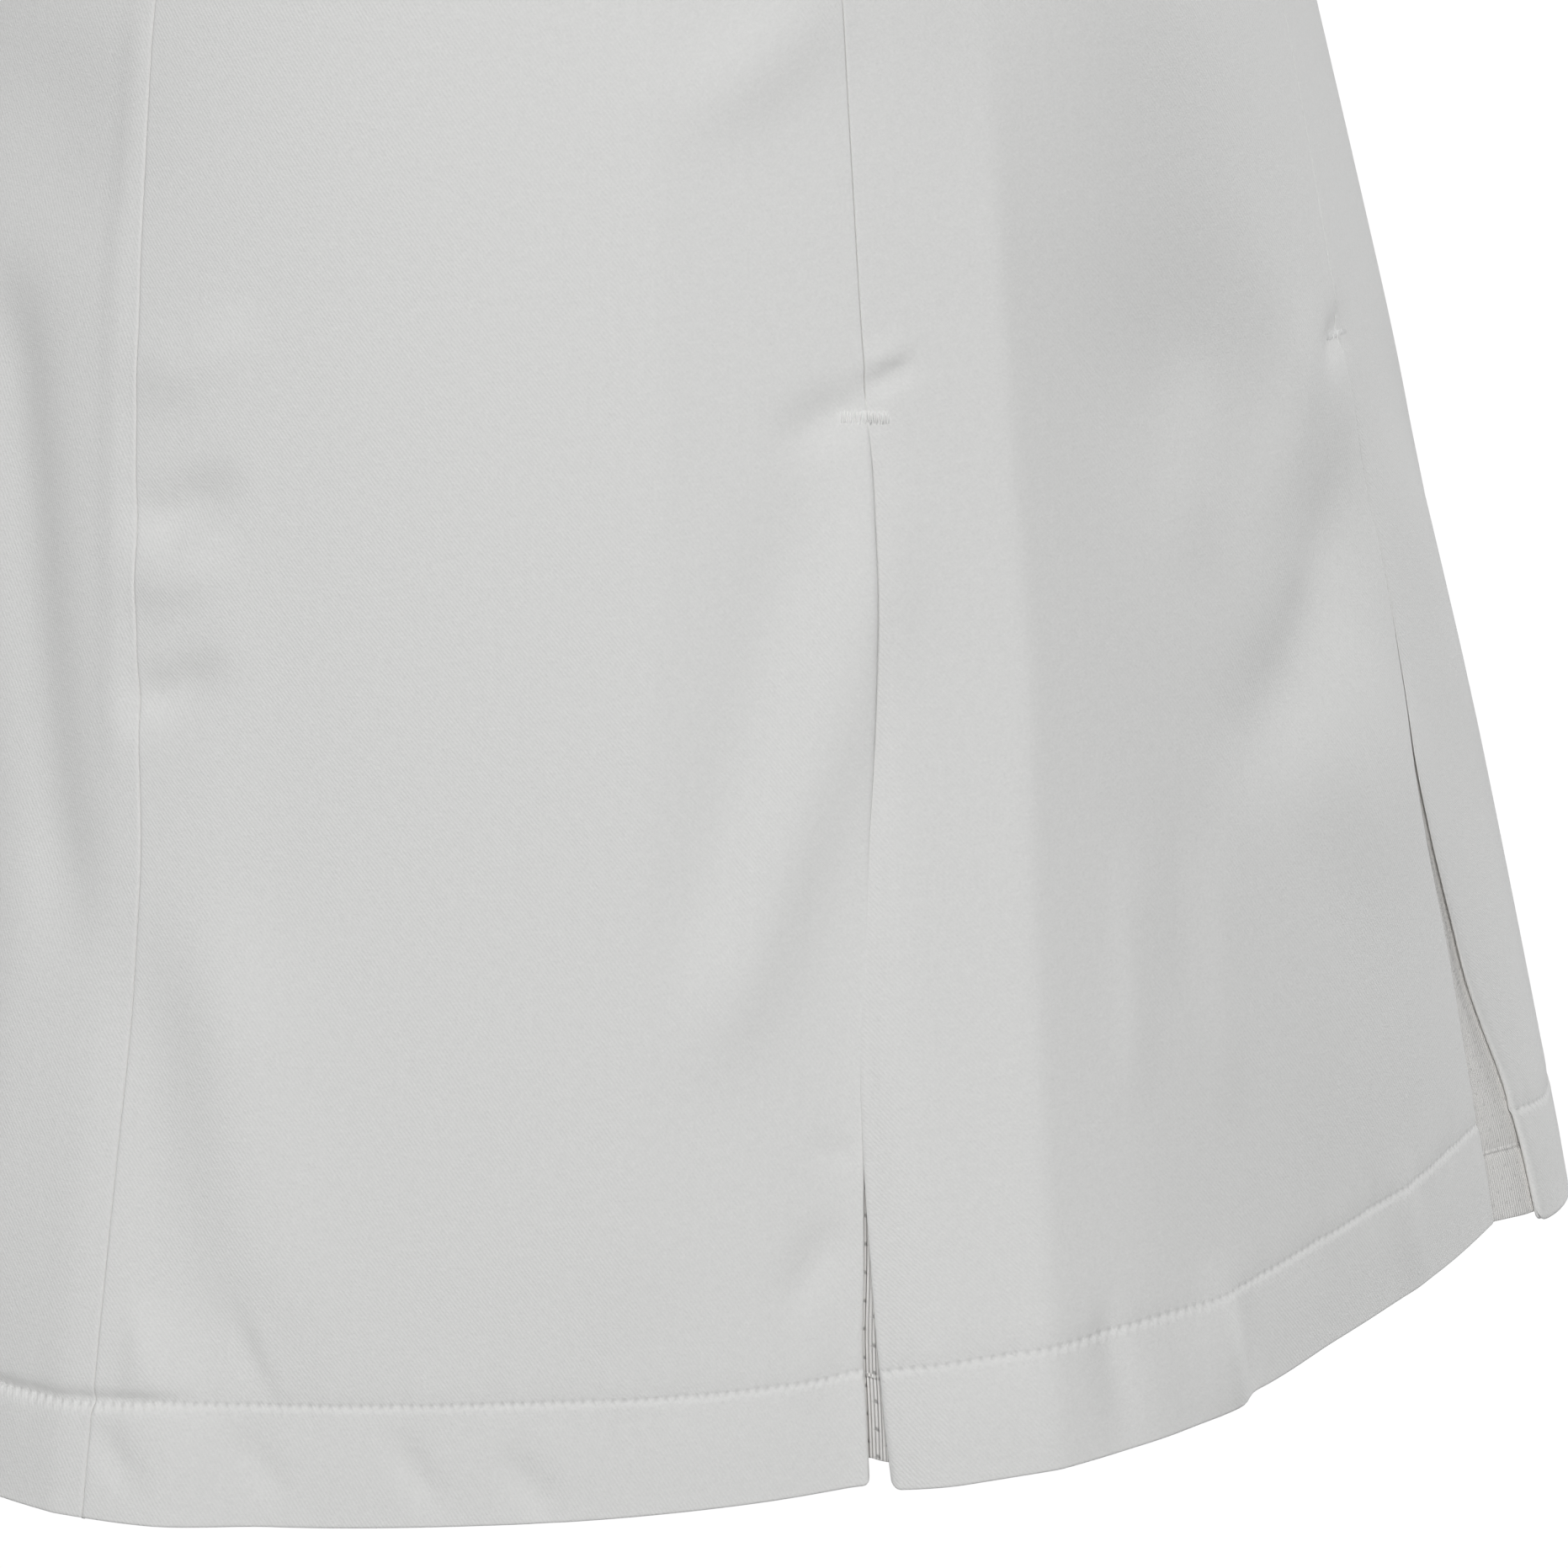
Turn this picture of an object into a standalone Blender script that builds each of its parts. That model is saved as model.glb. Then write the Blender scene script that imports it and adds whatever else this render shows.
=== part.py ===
"""Tennis skirt, filled out as it is worn, with its waist opening centred on the origin.

The skirt faces -Y and hangs down from Z = 0. Each cut piece of cloth is one object. A piece is
a grid laid on one A-line surface and thickened inwards. The surface is an ellipse that widens
from the waist to the hem, with soft folds that grow towards the hem. Two inverted pleats on each
side, one at the front and one at the side seam, close over a mesh insert: each panel's edge turns
back behind it as a flat return, and the insert lies behind both returns.

All sizes are millimetres and all angles are degrees from the front, positive to the wearer's left.
"""
from collections import namedtuple
from math import cos, exp, hypot, pi, radians, sin

import bmesh
import bpy
from mathutils import Vector

MM = 0.001

# Driving sizes
LENGTH = 370.0            # waist to hem down the cloth at the front
SIDE_RISE = 26.0          # the hem is this much higher at the sides
BAND_HEIGHT = 35.0
BAND_WALL = 2.6
BAND_SWELL = 0.9          # the elastic pushes the middle of the band out
WALL = 1.0                # cloth
SEAM_GAP = 0.3            # pieces of cloth stay this far apart
BAND_GAP = 0.7            # below the band, whose wall slants down inwards
HEM_BAND = 22.0           # turned up inside
SEAM_ALLOWANCE = 9.0      # pressed open inside a plain seam
STEP = 0.7                # width of the ramp where a double layer starts
RETURN_WIDTH = 34.0       # cloth turned back behind each pleat edge
FOLD_RADIUS = 1.2
INSERT_HALF_WIDTH = 33.0
FOLD_START = 130.0        # the folds begin this far below the waist
FOLD_POWER = 1.5

# The body of the skirt: drop below the waist, half width, half depth
SECTIONS = (
    (0, 143.0, 124.5),
    (35, 148.0, 129.5),
    (80, 159.5, 139.3),
    (155, 178.8, 154.0),
    (230, 196.6, 167.0),
    (300, 211.7, 178.0),
    (370, 225.5, 187.5),
)
# The cloth slopes, so a drop down the cloth is a little more than a drop in height
STEEP_FRONT = 0.991
STEEP_SIDE = 0.978

# Folds: angle, how far the hem stands out (ridge +, valley -), the same on both sides
FOLDS = (
    (0, 10.0),
    (5, 8.0),
    (11, 1.0),
    (23, -3.0),
    (41, -1.5),
    (47, 5.0),
    (58, 9.5),
    (67, 3.0),
    (73, -1.5),
    (82, -4.8),
    (96, -7.0),
    (106, 2.5),
    (118, 3.0),
    (133, -4.5),
    (152, 6.5),
    (180, -4.0),
)

# The plain seam down the front swings a little: drop, angle
FRONT_SEAM = (
    (35, -2.0),
    (80, -2.6),
    (155, -1.0),
    (205, 0.7),
    (250, 2.1),
    (300, 1.9),
    (370, 1.6),
)
# Pleats: drop, angle of the fold nearer the front, how far the two folds stand apart
FRONT_PLEAT = (
    (35, 49.2, 0.3),
    (80, 48.2, 0.3),
    (155, 46.9, 0.3),
    (205, 45.6, 0.3),
    (290, 43.3, 0.4),
    (324, 42.5, 2.2),
    (360, 42.2, 4.3),
)
SIDE_PLEAT = (
    (35, 97.0, 0.3),
    (80, 96.5, 0.3),
    (155, 93.4, 0.3),
    (205, 93.8, 0.3),
    (250, 93.6, 0.4),
    (276, 94.5, 2.6),
    (290, 94.6, 8.5),
    (310, 95.0, 14.0),
    (350, 96.7, 16.0),
)
# A pleat's edge lifts off, or sinks, towards the hem: how far, and how far in from the edge
LIFT_FRONT_INNER = (-1.5, 15.0)
LIFT_FRONT_OUTER = (2.5, 25.0)
LIFT_SIDE_INNER = (-1.0, 25.0)
LIFT_SIDE_OUTER = (2.5, 25.0)

# Inserts: how deep the mesh lies behind the outer cloth, how much deeper at the hem, and how
# far its hem stays above the skirt's
INSERT_DEPTH_TOP = 2 * FOLD_RADIUS + SEAM_GAP
INSERT_SINK = 2.6
FRONT_INSERT_SHORT = 4.0
SIDE_INSERT_SHORT = 2.5

CLOTH_ROWS = 12           # grid rows between the hem band and the waistband
INSERT_ROWS = 12
INSERT_COLUMNS = 9
BAND_COLUMNS = 72


def smooth(table, column, x):
    """Read a column of a table at x, on a curve through its rows that never overshoots."""
    xs = [row[0] for row in table]
    ys = [row[column] for row in table]
    x = min(max(x, xs[0]), xs[-1])
    slopes = [(ys[k + 1] - ys[k]) / (xs[k + 1] - xs[k]) for k in range(len(xs) - 1)]
    k = max(index for index in range(len(slopes)) if xs[index] <= x)

    def tangent(index):
        if index in (0, len(slopes)):
            return slopes[0] if index == 0 else slopes[-1]
        before, after = slopes[index - 1], slopes[index]
        return 2 * before * after / (before + after) if before * after > 0 else 0.0

    width = xs[k + 1] - xs[k]
    t = (x - xs[k]) / width
    return (ys[k] * (2 * t ** 3 - 3 * t ** 2 + 1) + ys[k + 1] * (3 * t ** 2 - 2 * t ** 3)
            + width * tangent(k) * (t ** 3 - 2 * t ** 2 + t)
            + width * tangent(k + 1) * (t ** 3 - t ** 2))


def hem_drop(angle):
    """Length of the cloth from the waist to the hem at an angle."""
    return LENGTH - SIDE_RISE * sin(radians(angle)) ** 2


def fold_growth(angle, drop):
    """0 where the folds begin, 1 at the hem."""
    share = (drop - FOLD_START) / (hem_drop(angle) - FOLD_START)
    return max(share, 0.0) ** FOLD_POWER


def fold_height(angle):
    """How far the hem stands out at an angle, wrapped round the skirt."""
    angle = (angle + 180.0) % 360.0 - 180.0
    return smooth(FOLDS, 1, abs(angle))


def skin(angle, drop, out=0.0):
    """A point of the outer surface in metres, moved out by a distance."""
    half_width = smooth(SECTIONS, 1, drop)
    half_depth = smooth(SECTIONS, 2, drop)
    across, along = sin(radians(angle)), cos(radians(angle))
    out += fold_height(angle) * fold_growth(angle, drop)
    normal_x, normal_y = across / half_width, -along / half_depth
    scale = out / hypot(normal_x, normal_y)
    steep = STEEP_FRONT * along ** 2 + STEEP_SIDE * across ** 2
    return MM * Vector((half_width * across + normal_x * scale,
                        -half_depth * along + normal_y * scale,
                        -drop * steep))


def degree_width(angle, drop):
    """Width of one degree of cloth, in millimetres."""
    across, along = sin(radians(angle)), cos(radians(angle))
    return radians(1) * hypot(smooth(SECTIONS, 1, drop) * along,
                              smooth(SECTIONS, 2, drop) * across)


def arc_length(start, end, drop, chords=12):
    """Width of the cloth between two angles at one drop."""
    points = [skin(start + (end - start) * k / chords, drop) for k in range(chords + 1)]
    return sum((b - a).length for a, b in zip(points, points[1:])) / MM


# A column of a panel's grid: distance in from the edge, depth behind the outer face, and
# whether the cloth is double there all the way down, or only in the hem band
Column = namedtuple("Column", "x depth seam_double hem_double")


class Edge:
    """One side of a panel: its angle down the skirt, and how the cloth finishes there."""

    def __init__(self, angle_at, lift=None):
        self.angle_at = angle_at
        self.lift = lift          # (height, reach) on a pleat's edge, None at a plain seam

    def columns(self):
        """The grid's columns from the cloth's free end to the plain cloth."""
        if self.lift is None:
            return [Column(SEAM_GAP / 2, 0.0, True, True),
                    Column(SEAM_ALLOWANCE, 0.0, True, True),
                    Column(SEAM_ALLOWANCE + STEP, 0.0, False, True)]
        across = [RETURN_WIDTH, RETURN_WIDTH * 0.65, RETURN_WIDTH * 0.3]
        turn = [pi * k / 4 for k in range(5)]
        return ([Column(x, 2 * FOLD_RADIUS, False, False) for x in across]
                + [Column(FOLD_RADIUS * (1 - sin(t)), FOLD_RADIUS * (1 + cos(t)), False, False)
                   for t in turn]
                + [Column(x, 0.0, False, False) for x in reversed(across)]
                + [Column(RETURN_WIDTH + STEP, 0.0, False, True)])

    def lift_at(self, distance, angle, drop):
        """How far the cloth near this edge stands out."""
        if self.lift is None:
            return 0.0
        height, reach = self.lift
        return height * fold_growth(angle, drop) * exp(-(distance / reach) ** 2)


def pleat_edge(table, side, outer):
    """The angle of one fold of a pleat, on the wearer's left (side 1) or right (side -1)."""
    def angle_at(drop):
        angle = smooth(table, 1, drop)
        if outer:
            gap = smooth(table, 2, drop)
            angle += gap / degree_width(angle, drop)
        return side * angle
    return angle_at


def grid_object(name, columns, rows, place, thickness, double=None):
    """A grid of points moved on to the cloth's outer face, then thickened inwards.

    place(i, j) is the point in column i and row j, with row 0 at the hem. double(i, j) says
    where the cloth lies double.
    """
    mesh = bmesh.new()
    bmesh.ops.create_grid(mesh, x_segments=columns - 1, y_segments=rows - 1, size=0.5)
    layer = mesh.verts.layers.deform.new()
    for vert in mesh.verts:
        i = round((vert.co.x + 0.5) * (columns - 1))
        j = round((vert.co.y + 0.5) * (rows - 1))
        vert.co = place(i, j)
        vert[layer][0] = 1.0 if double and double(i, j) else 0.5
    bmesh.ops.remove_doubles(mesh, verts=mesh.verts, dist=1e-6)
    data = bpy.data.meshes.new(name)
    mesh.to_mesh(data)
    mesh.free()
    data.shade_smooth()
    piece = bpy.data.objects.new(name, data)
    group = piece.vertex_groups.new(name="layers")
    solidify = piece.modifiers.new("Cloth thickness", 'SOLIDIFY')
    solidify.thickness = 2 * thickness * MM
    solidify.offset = -1.0
    solidify.vertex_group = group.name
    SKIRT.objects.link(piece)
    return piece


def panel(name, left, right, middle_columns, material):
    """A cut panel between two edges, with its hem turned up and its pleat edges turned back."""
    start, end = left.columns(), right.columns()[::-1]
    plain = [None] * middle_columns
    columns = start + plain + end
    hem_rows = (0.0, HEM_BAND - STEP, HEM_BAND)
    top = BAND_HEIGHT + BAND_GAP

    def drop_at(angle, j):
        hem = hem_drop(angle)
        if j < len(hem_rows):
            return hem - hem_rows[j]
        share = (j - len(hem_rows) + 1) / CLOTH_ROWS
        return (hem - HEM_BAND) * (1 - share) + top * share

    def place(i, j):
        share = i / (len(columns) - 1)
        drop = drop_at(left.angle_at(LENGTH) * (1 - share) + right.angle_at(LENGTH) * share, j)
        first, last = left.angle_at(drop), right.angle_at(drop)
        width = arc_length(first, last, drop)
        depth = 0.0
        if i < len(start):
            x, depth = start[i].x, start[i].depth
        elif columns[i]:
            x, depth = width - columns[i].x, columns[i].depth
        else:
            step = (width - start[-1].x - end[0].x) / (middle_columns + 1)
            x = start[-1].x + step * (i - len(start) + 1)
        angle = first + (last - first) * x / width
        drop = drop_at(angle, j)
        lift = left.lift_at(x, angle, drop) + right.lift_at(width - x, angle, drop)
        return skin(angle, drop, lift - depth)

    def double(i, j):
        column = columns[i]
        in_hem = j < len(hem_rows) - 1
        return in_hem if column is None else column.seam_double or in_hem and column.hem_double

    piece = grid_object(name, len(columns), len(hem_rows) + CLOTH_ROWS, place, WALL, double)
    piece.data.materials.append(material)
    return piece


def insert(name, table, side, shorter, material):
    """A mesh insert that lies behind both returns of a pleat."""
    top = BAND_HEIGHT + BAND_GAP

    def drop_at(angle, j):
        share = j / (INSERT_ROWS - 1)
        return (hem_drop(angle) - shorter) * (1 - share) + top * share

    def place(i, j):
        drop = drop_at(smooth(table, 1, LENGTH), j)
        fold, gap = smooth(table, 1, drop), smooth(table, 2, drop)
        x = gap / 2 + INSERT_HALF_WIDTH * (2 * i / (INSERT_COLUMNS - 1) - 1) * side
        angle = side * (fold + x / degree_width(fold, drop))
        drop = drop_at(angle, j)
        depth = INSERT_DEPTH_TOP + INSERT_SINK * fold_growth(angle, drop)
        return skin(angle, drop, -depth)

    piece = grid_object(name, INSERT_COLUMNS, INSERT_ROWS, place, WALL)
    piece.data.materials.append(material)
    return piece


def waistband(material):
    """An elastic band round the waist, a closed ring with rounded edges."""
    rows = 6

    def place(i, j):
        angle = 360.0 * i / BAND_COLUMNS - 180.0
        share = j / (rows - 1)
        return skin(angle, BAND_HEIGHT * (1 - share), BAND_SWELL * (0.5 + sin(pi * share)))

    ring = grid_object("waistband", BAND_COLUMNS + 1, rows, place, BAND_WALL)
    rounded = ring.modifiers.new("Rounded edges", 'BEVEL')
    rounded.width = 0.7 * MM
    rounded.segments = 2
    rounded.limit_method = 'ANGLE'
    rounded.angle_limit = radians(50)
    ring.data.materials.append(material)
    return ring


def cloth_material(name, colour, roughness):
    material = bpy.data.materials.new(name)
    material.use_nodes = True
    shader = material.node_tree.nodes["Principled BSDF"]
    shader.inputs["Base Color"].default_value = (*colour, 1.0)
    shader.inputs["Roughness"].default_value = roughness
    shader.inputs["Metallic"].default_value = 0.0
    return material


for old in list(bpy.data.objects):
    bpy.data.objects.remove(old, do_unlink=True)

SKIRT = bpy.data.collections.new("Tennis skirt")
bpy.context.scene.collection.children.link(SKIRT)

CLOTH = cloth_material("white_knit", (0.80, 0.80, 0.80), 0.85)
MESH = cloth_material("white_mesh", (0.76, 0.76, 0.75), 0.80)
ELASTIC = cloth_material("waistband_knit", (0.80, 0.80, 0.80), 0.80)

waistband(ELASTIC)
seam = Edge(lambda drop: smooth(FRONT_SEAM, 1, drop))
front_inner = {side: Edge(pleat_edge(FRONT_PLEAT, side, False), LIFT_FRONT_INNER)
               for side in (1, -1)}
front_outer = {side: Edge(pleat_edge(FRONT_PLEAT, side, True), LIFT_FRONT_OUTER)
               for side in (1, -1)}
side_inner = {side: Edge(pleat_edge(SIDE_PLEAT, side, False), LIFT_SIDE_INNER)
              for side in (1, -1)}
side_outer = {side: Edge(pleat_edge(SIDE_PLEAT, side, True), LIFT_SIDE_OUTER)
              for side in (1, -1)}
right_of_back = Edge(lambda drop: 360.0 + side_outer[-1].angle_at(drop), LIFT_SIDE_OUTER)

panel("front_left", seam, front_inner[1], 8, CLOTH)
panel("front_right", front_inner[-1], seam, 8, CLOTH)
panel("side_front_left", front_outer[1], side_inner[1], 8, CLOTH)
panel("side_front_right", side_inner[-1], front_outer[-1], 8, CLOTH)
panel("back", side_outer[1], right_of_back, 26, CLOTH)

for word, side in (("left", 1), ("right", -1)):
    insert(f"front_insert_{word}", FRONT_PLEAT, side, FRONT_INSERT_SHORT, MESH)
    insert(f"side_insert_{word}", SIDE_PLEAT, side, SIDE_INSERT_SHORT, MESH)
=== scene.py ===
"""Tennis skirt: knitted panels, mesh inserts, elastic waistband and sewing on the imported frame.

The frame is in metres with +Z up. The skirt faces -Y and hangs from the waist at Z = 0, and +X is
the wearer's left. The tables below are in millimetres and in degrees from the front, positive to
the wearer's left, and MM turns millimetres into metres.
"""
from functools import partial
from math import cos, pi, radians, sin

import bmesh
import bpy
import numpy as np
from bpy.props import FloatProperty, FloatVectorProperty, PointerProperty
from bpy.types import Operator, Panel, PropertyGroup
from mathutils import Matrix, Vector


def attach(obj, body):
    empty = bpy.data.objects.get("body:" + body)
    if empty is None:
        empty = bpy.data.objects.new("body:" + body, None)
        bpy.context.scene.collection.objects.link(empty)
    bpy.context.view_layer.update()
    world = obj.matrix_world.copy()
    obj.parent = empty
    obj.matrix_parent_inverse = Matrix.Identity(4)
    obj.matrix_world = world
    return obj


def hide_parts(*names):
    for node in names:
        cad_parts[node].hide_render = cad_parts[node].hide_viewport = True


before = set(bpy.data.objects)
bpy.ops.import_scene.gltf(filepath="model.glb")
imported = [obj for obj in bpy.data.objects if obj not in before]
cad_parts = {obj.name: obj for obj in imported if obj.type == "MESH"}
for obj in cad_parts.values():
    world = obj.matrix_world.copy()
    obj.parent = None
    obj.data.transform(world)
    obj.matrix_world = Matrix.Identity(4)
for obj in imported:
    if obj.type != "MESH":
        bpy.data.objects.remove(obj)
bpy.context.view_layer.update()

bl_info = {
    "name": "Tennis Skirt",
    "version": (1, 0, 0),
    "blender": (4, 5, 0),
    "location": "3D View > Sidebar > Skirt",
    "description": "Pleated knit tennis skirt with mesh inserts, an elastic waist and its sewing",
    "category": "Object",
}

MM = 0.001

# ---- Cut of the skirt, as in the frame

LENGTH = 370.0  # waist to hem down the cloth at the front
SIDE_RISE = 26.0  # the hem is this much higher at the sides
BAND_HEIGHT = 35.0
BAND_WALL = 2.6
HEM_BAND = 22.0  # the hem's stitches run this far above it
RETURN_WIDTH = 34.0  # cloth turned back behind each pleat edge
INSERT_HALF_WIDTH = 33.0
FOLD_START = 130.0  # the folds begin this far below the waist
FOLD_POWER = 1.5
STEEP_FRONT = 0.991  # height that each millimetre of cloth is worth, at the front
STEEP_SIDE = 0.978  # and at the sides

# Drop below the waist, half width, half depth
SECTIONS = (
    (0, 143.0, 124.5), (35, 148.0, 129.5), (80, 159.5, 139.3), (155, 178.8, 154.0),
    (230, 196.6, 167.0), (300, 211.7, 178.0), (370, 225.5, 187.5),
)
# Angle, how far the hem stands out there
FOLDS = (
    (0, 10.0), (5, 8.0), (11, 1.0), (23, -3.0), (41, -1.5), (47, 5.0), (58, 9.5), (67, 3.0),
    (73, -1.5), (82, -4.8), (96, -7.0), (106, 2.5), (118, 3.0), (133, -4.5), (152, 6.5),
    (180, -4.0),
)
# Drop, angle of the plain seam down the front
FRONT_SEAM = (
    (35, -2.0), (80, -2.6), (155, -1.0), (205, 0.7), (250, 2.1), (300, 1.9), (370, 1.6),
)
# Drop, angle of the fold nearer the front, how far the pleat's two folds stand apart, which is
# less than nothing where one lies over the other
FRONT_PLEAT = (
    (35, 49.2, 0.02), (80, 48.2, 0.02), (148, 47.1, 0.02), (158, 47.05, -0.9), (174, 46.7, -2.0),
    (185, 46.45, -2.0), (200, 46.0, -2.0), (223, 45.2, -2.0), (233, 44.8, -2.0),
    (270, 43.85, -1.6), (290, 43.3, -0.6), (303, 43.0, 0.2), (314, 42.8, 0.9), (331, 42.46, 2.2),
    (345, 42.4, 2.8), (360, 42.34, 3.8),
)
SIDE_PLEAT = (
    (35, 97.0, 0.02), (80, 96.5, 0.02), (148, 93.5, 0.02), (158, 93.4, 0.05), (174, 93.5, 0.5),
    (206, 93.6, 1.5), (225, 93.1, 2.2), (244, 91.8, 3.4), (258, 92.3, 4.6), (270, 93.1, 5.8),
    (280, 93.8, 7.2), (290, 94.2, 8.8), (304, 94.75, 12.0), (316, 95.45, 13.8),
    (333, 96.45, 13.4), (350, 97.1, 13.0),
)
# How far a pleat's edge stands out at the hem, and how far in from the edge that reaches
LIFT_FRONT_OUTER = (2.2, 25.0)
LIFT_SIDE_OUTER = (2.5, 25.0)
# Drop, how far a pleat's edge sinks in there, and how far in from the edge that reaches
FRONT_INNER_SINK = (
    (35, 0.0, 9.0), (150, 0.0, 9.0), (172, -1.2, 9.0), (200, -0.8, 10.0), (228, 0.2, 12.0),
    (270, 0.8, 13.0), (320, 1.1, 14.0), (370, 1.1, 14.0),
)
FRONT_OUTER_SINK = (
    (35, 0.0, 4.0), (150, 0.0, 4.0), (160, 0.7, 4.0), (174, 1.3, 4.0), (200, 1.7, 4.0),
    (233, 1.8, 4.0), (275, 1.7, 4.0), (303, 1.1, 4.0), (325, 0.5, 3.0), (350, 0.2, 3.0),
    (370, 0.0, 3.0),
)
SIDE_OUTER_SINK = (
    (35, 0.0, 8.0), (150, 0.0, 8.0), (170, 0.7, 8.0), (206, 0.9, 8.0), (285, 0.9, 8.0),
    (310, 0.4, 8.0), (330, 0.0, 8.0), (370, 0.0, 8.0),
)
# Drop, how far in from its tip a pleat's fold is round, half the fold's thickness
FRONT_CRISP = (
    (35, 0.28, 0.46), (150, 0.30, 0.46), (170, 1.3, 0.46), (240, 1.6, 0.48), (290, 1.2, 0.5),
    (326, 0.9, 0.52), (338, 1.0, 0.98), (370, 1.0, 0.98),
)
FRONT_SOFT = (
    (35, 0.28, 0.46), (150, 0.32, 0.46), (190, 0.6, 0.46), (270, 1.0, 0.5), (320, 1.3, 0.52),
    (338, 1.3, 0.98), (370, 1.0, 0.98),
)
SIDE_CRISP = (
    (35, 0.30, 0.46), (150, 0.35, 0.46), (170, 1.2, 0.5), (240, 1.5, 0.55), (270, 1.5, 0.75),
    (295, 1.2, 1.0), (370, 1.1, 1.0),
)
SIDE_SOFT = (
    (35, 0.30, 0.46), (150, 0.5, 0.46), (174, 2.4, 0.5), (206, 3.6, 0.55), (240, 4.4, 0.6),
    (285, 5.0, 0.75), (308, 4.4, 0.95), (322, 3.4, 1.05), (345, 2.2, 1.05), (370, 1.6, 1.05),
)
# Angle, height of the hem's stitches, which wander a little
HEM_LINE = (
    (-180, 22.6), (-140, 21.8), (-96, 22.8), (-60, 21.7), (-44, 23.0), (-20, 22.4), (-3, 22.0),
    (0, 22.2), (3, 23.1), (6, 24.5), (24, 24.2), (33, 22.9), (40, 22.4), (45, 23.9), (57, 23.5),
    (66, 21.3), (81, 21.9), (94, 23.0), (140, 21.8), (180, 22.6),
)

# ---- Sewing and folding

SEAM_RADIUS = 0.42  # the cloth rolls in at a plain seam
SEAM_LIP = 0.36
HEM_RADIUS = 0.5  # the turn at the bottom of the hem
HEM_LINE_REACH = 60.0  # above this height the cloth doesn't follow the stitches
HEM_EDGE = 1.0  # the turned-up edge lies this far above its stitches
HEM_CORNER = 2.2  # rounding of the hem's corners at the pleats
CORNER_REACH = 9.0  # how far up from the hem that rounding is felt
TUCK = (0.5, 0.45)  # where the turned-up layer comes to lie flat, in shares of the hem
PANEL_TOP = 35.15
INSERT_TOP = 0.3  # the inserts begin this much lower than the panels
TOP_ROLL = (1.2, 0.5, -0.1)
TOP_MARGIN = 1.6
BACK_CORNER_DIP = 2.4  # the back's hem hangs this much lower at its corners
DIP_REACH = 14.0
ALLOWANCE = 9.5  # width of the seam allowances, pressed open inside
ALLOWANCE_GAP = 0.06  # between a seam allowance and its panel
LAYER_GAP = 0.1  # between two layers of a hem
INSERT_GAP = 0.3  # between a pleat's return and its insert
INSERT_BEND = 3.0  # an insert needs this width to pass from one return to the other
# How far an insert's hem stays above the skirt's, its stitches' height, how clear its eyelets are
FRONT_INSERT = {"short": 4.7, "hem": 16.8, "clear": 1.0}
SIDE_INSERT = {"short": -0.9, "hem": 15.6, "clear": 0.3}
# The hem's stitches leave a groove (its depth, its reach above and below them), and the cloth
# under them is puffed (its height, its middle and half width in shares of the hem)
HEM_GROOVE = (0.42, 1.9, 1.1)
HEM_PUFF = (0.16, 0.55, 0.32)
# Puckers that the stitches draw into the cloth: stitches per wave, height, shift
HEM_PUCKERS = ((3.1, 0.05, 0.4), (4.7, 0.07, 2.1), (9.3, 0.08, 4.0), (17.0, 0.10, 1.3))
PUCKER_STITCH = 2.0
PUCKER_REACH = (7.0, 4.0)  # above and below the stitches

TACK_DROP = 153.0
TACK_THREADS = 24
TACK_THREAD_WIDTH = 0.95  # in widths of the sewing thread
TACK_THREAD_DEPTH = 4.0  # in widths of its own threads
TACK_SHIFT = 0.55  # how far its middle is off the fold, towards smaller angles
TACK_TILT = 0.12  # how much its end nearer the back is lower than its middle
# How unevenly the threads of a tack lie: size, how fast that changes from thread to thread
TACK_WOBBLE = {"level": ((0.13, 2.3), (0.09, 5.1)), "length": ((0.10, 3.7),),
               "lean": ((0.09, 4.3),)}
TACK_LEAN = 0.13  # half of how far a thread leans over

STITCH_SHARE = 0.34  # half of the hem's stitch that shows, in stitches
STITCH_SLANT = 0.06
STITCH_SUNK = 0.42  # in widths of the thread
STITCH_HEIGHT = 0.8  # in widths of the thread
STITCH_MARGIN = 1.5  # the hem's stitches stop this far from its end
CLOTH_SIDE = 0.8  # near enough above and below a stitch to tell how the cloth faces

# ---- Waistband

BAND_RADIUS = 145.0
BAND_SWELL = (0.45, 0.9)  # how far the elastic fills it out at its ends, and more at its middle
BAND_ROWS = (-13.0, 13.0)
BAND_PITCH = 2.6
BAND_STITCH_SHARE = 0.36
BAND_PINCH = 0.3  # the stitches draw it in by this much
BAND_PINCH_REACH = 0.8
GATHERS = 172
GATHER_ENDS = 0.35  # share of the gathers' height left at the waistband's ends
# How the gathers' spacing and height change round the waist: size, times round, shift
GATHER_SPACING = (1.1, 6, 0.0)
GATHER_HEIGHT = (0.38, 4, 0.8)

# ---- Distances between the points of the meshes

FAR = 99.0  # beyond the reach of any edge or fold
FINE_STEP = 1.35  # the pieces at the wearer's left
PLAIN_STEP = 2.1
BACK_STEP = 2.6
ROW_STRETCH = 1.7  # rows lie this much farther apart than columns
TOP_ROWS = len(TOP_ROLL)
SEAM_STATIONS = (-SEAM_LIP, -0.15, 0.1, 0.4, 0.8, 1.3, 2.0)
SEAM_ZONE = 10.0
FOLD_MARGIN = 1.2  # beyond the round part of a fold
FOLD_CROWDING = 1.5  # how much closer the points lie at a fold's tip
FOLD_POINTS = {True: 23, False: 15}
RETURN_POINTS = {True: 11, False: 7}
RETURN_MARGIN = 1.4
NEAR_FOLD = (0.8, 1.8, 3.0)
FOLD_ZONE = 48.0
INSERT_STATIONS = (0.0, 1.5, 3.0)
HEM_INSIDE_ROWS = 9
HEM_TURN_ROWS = 11
HEM_TURN = 1.5  # how far from the bottom of the hem those rows reach
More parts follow.
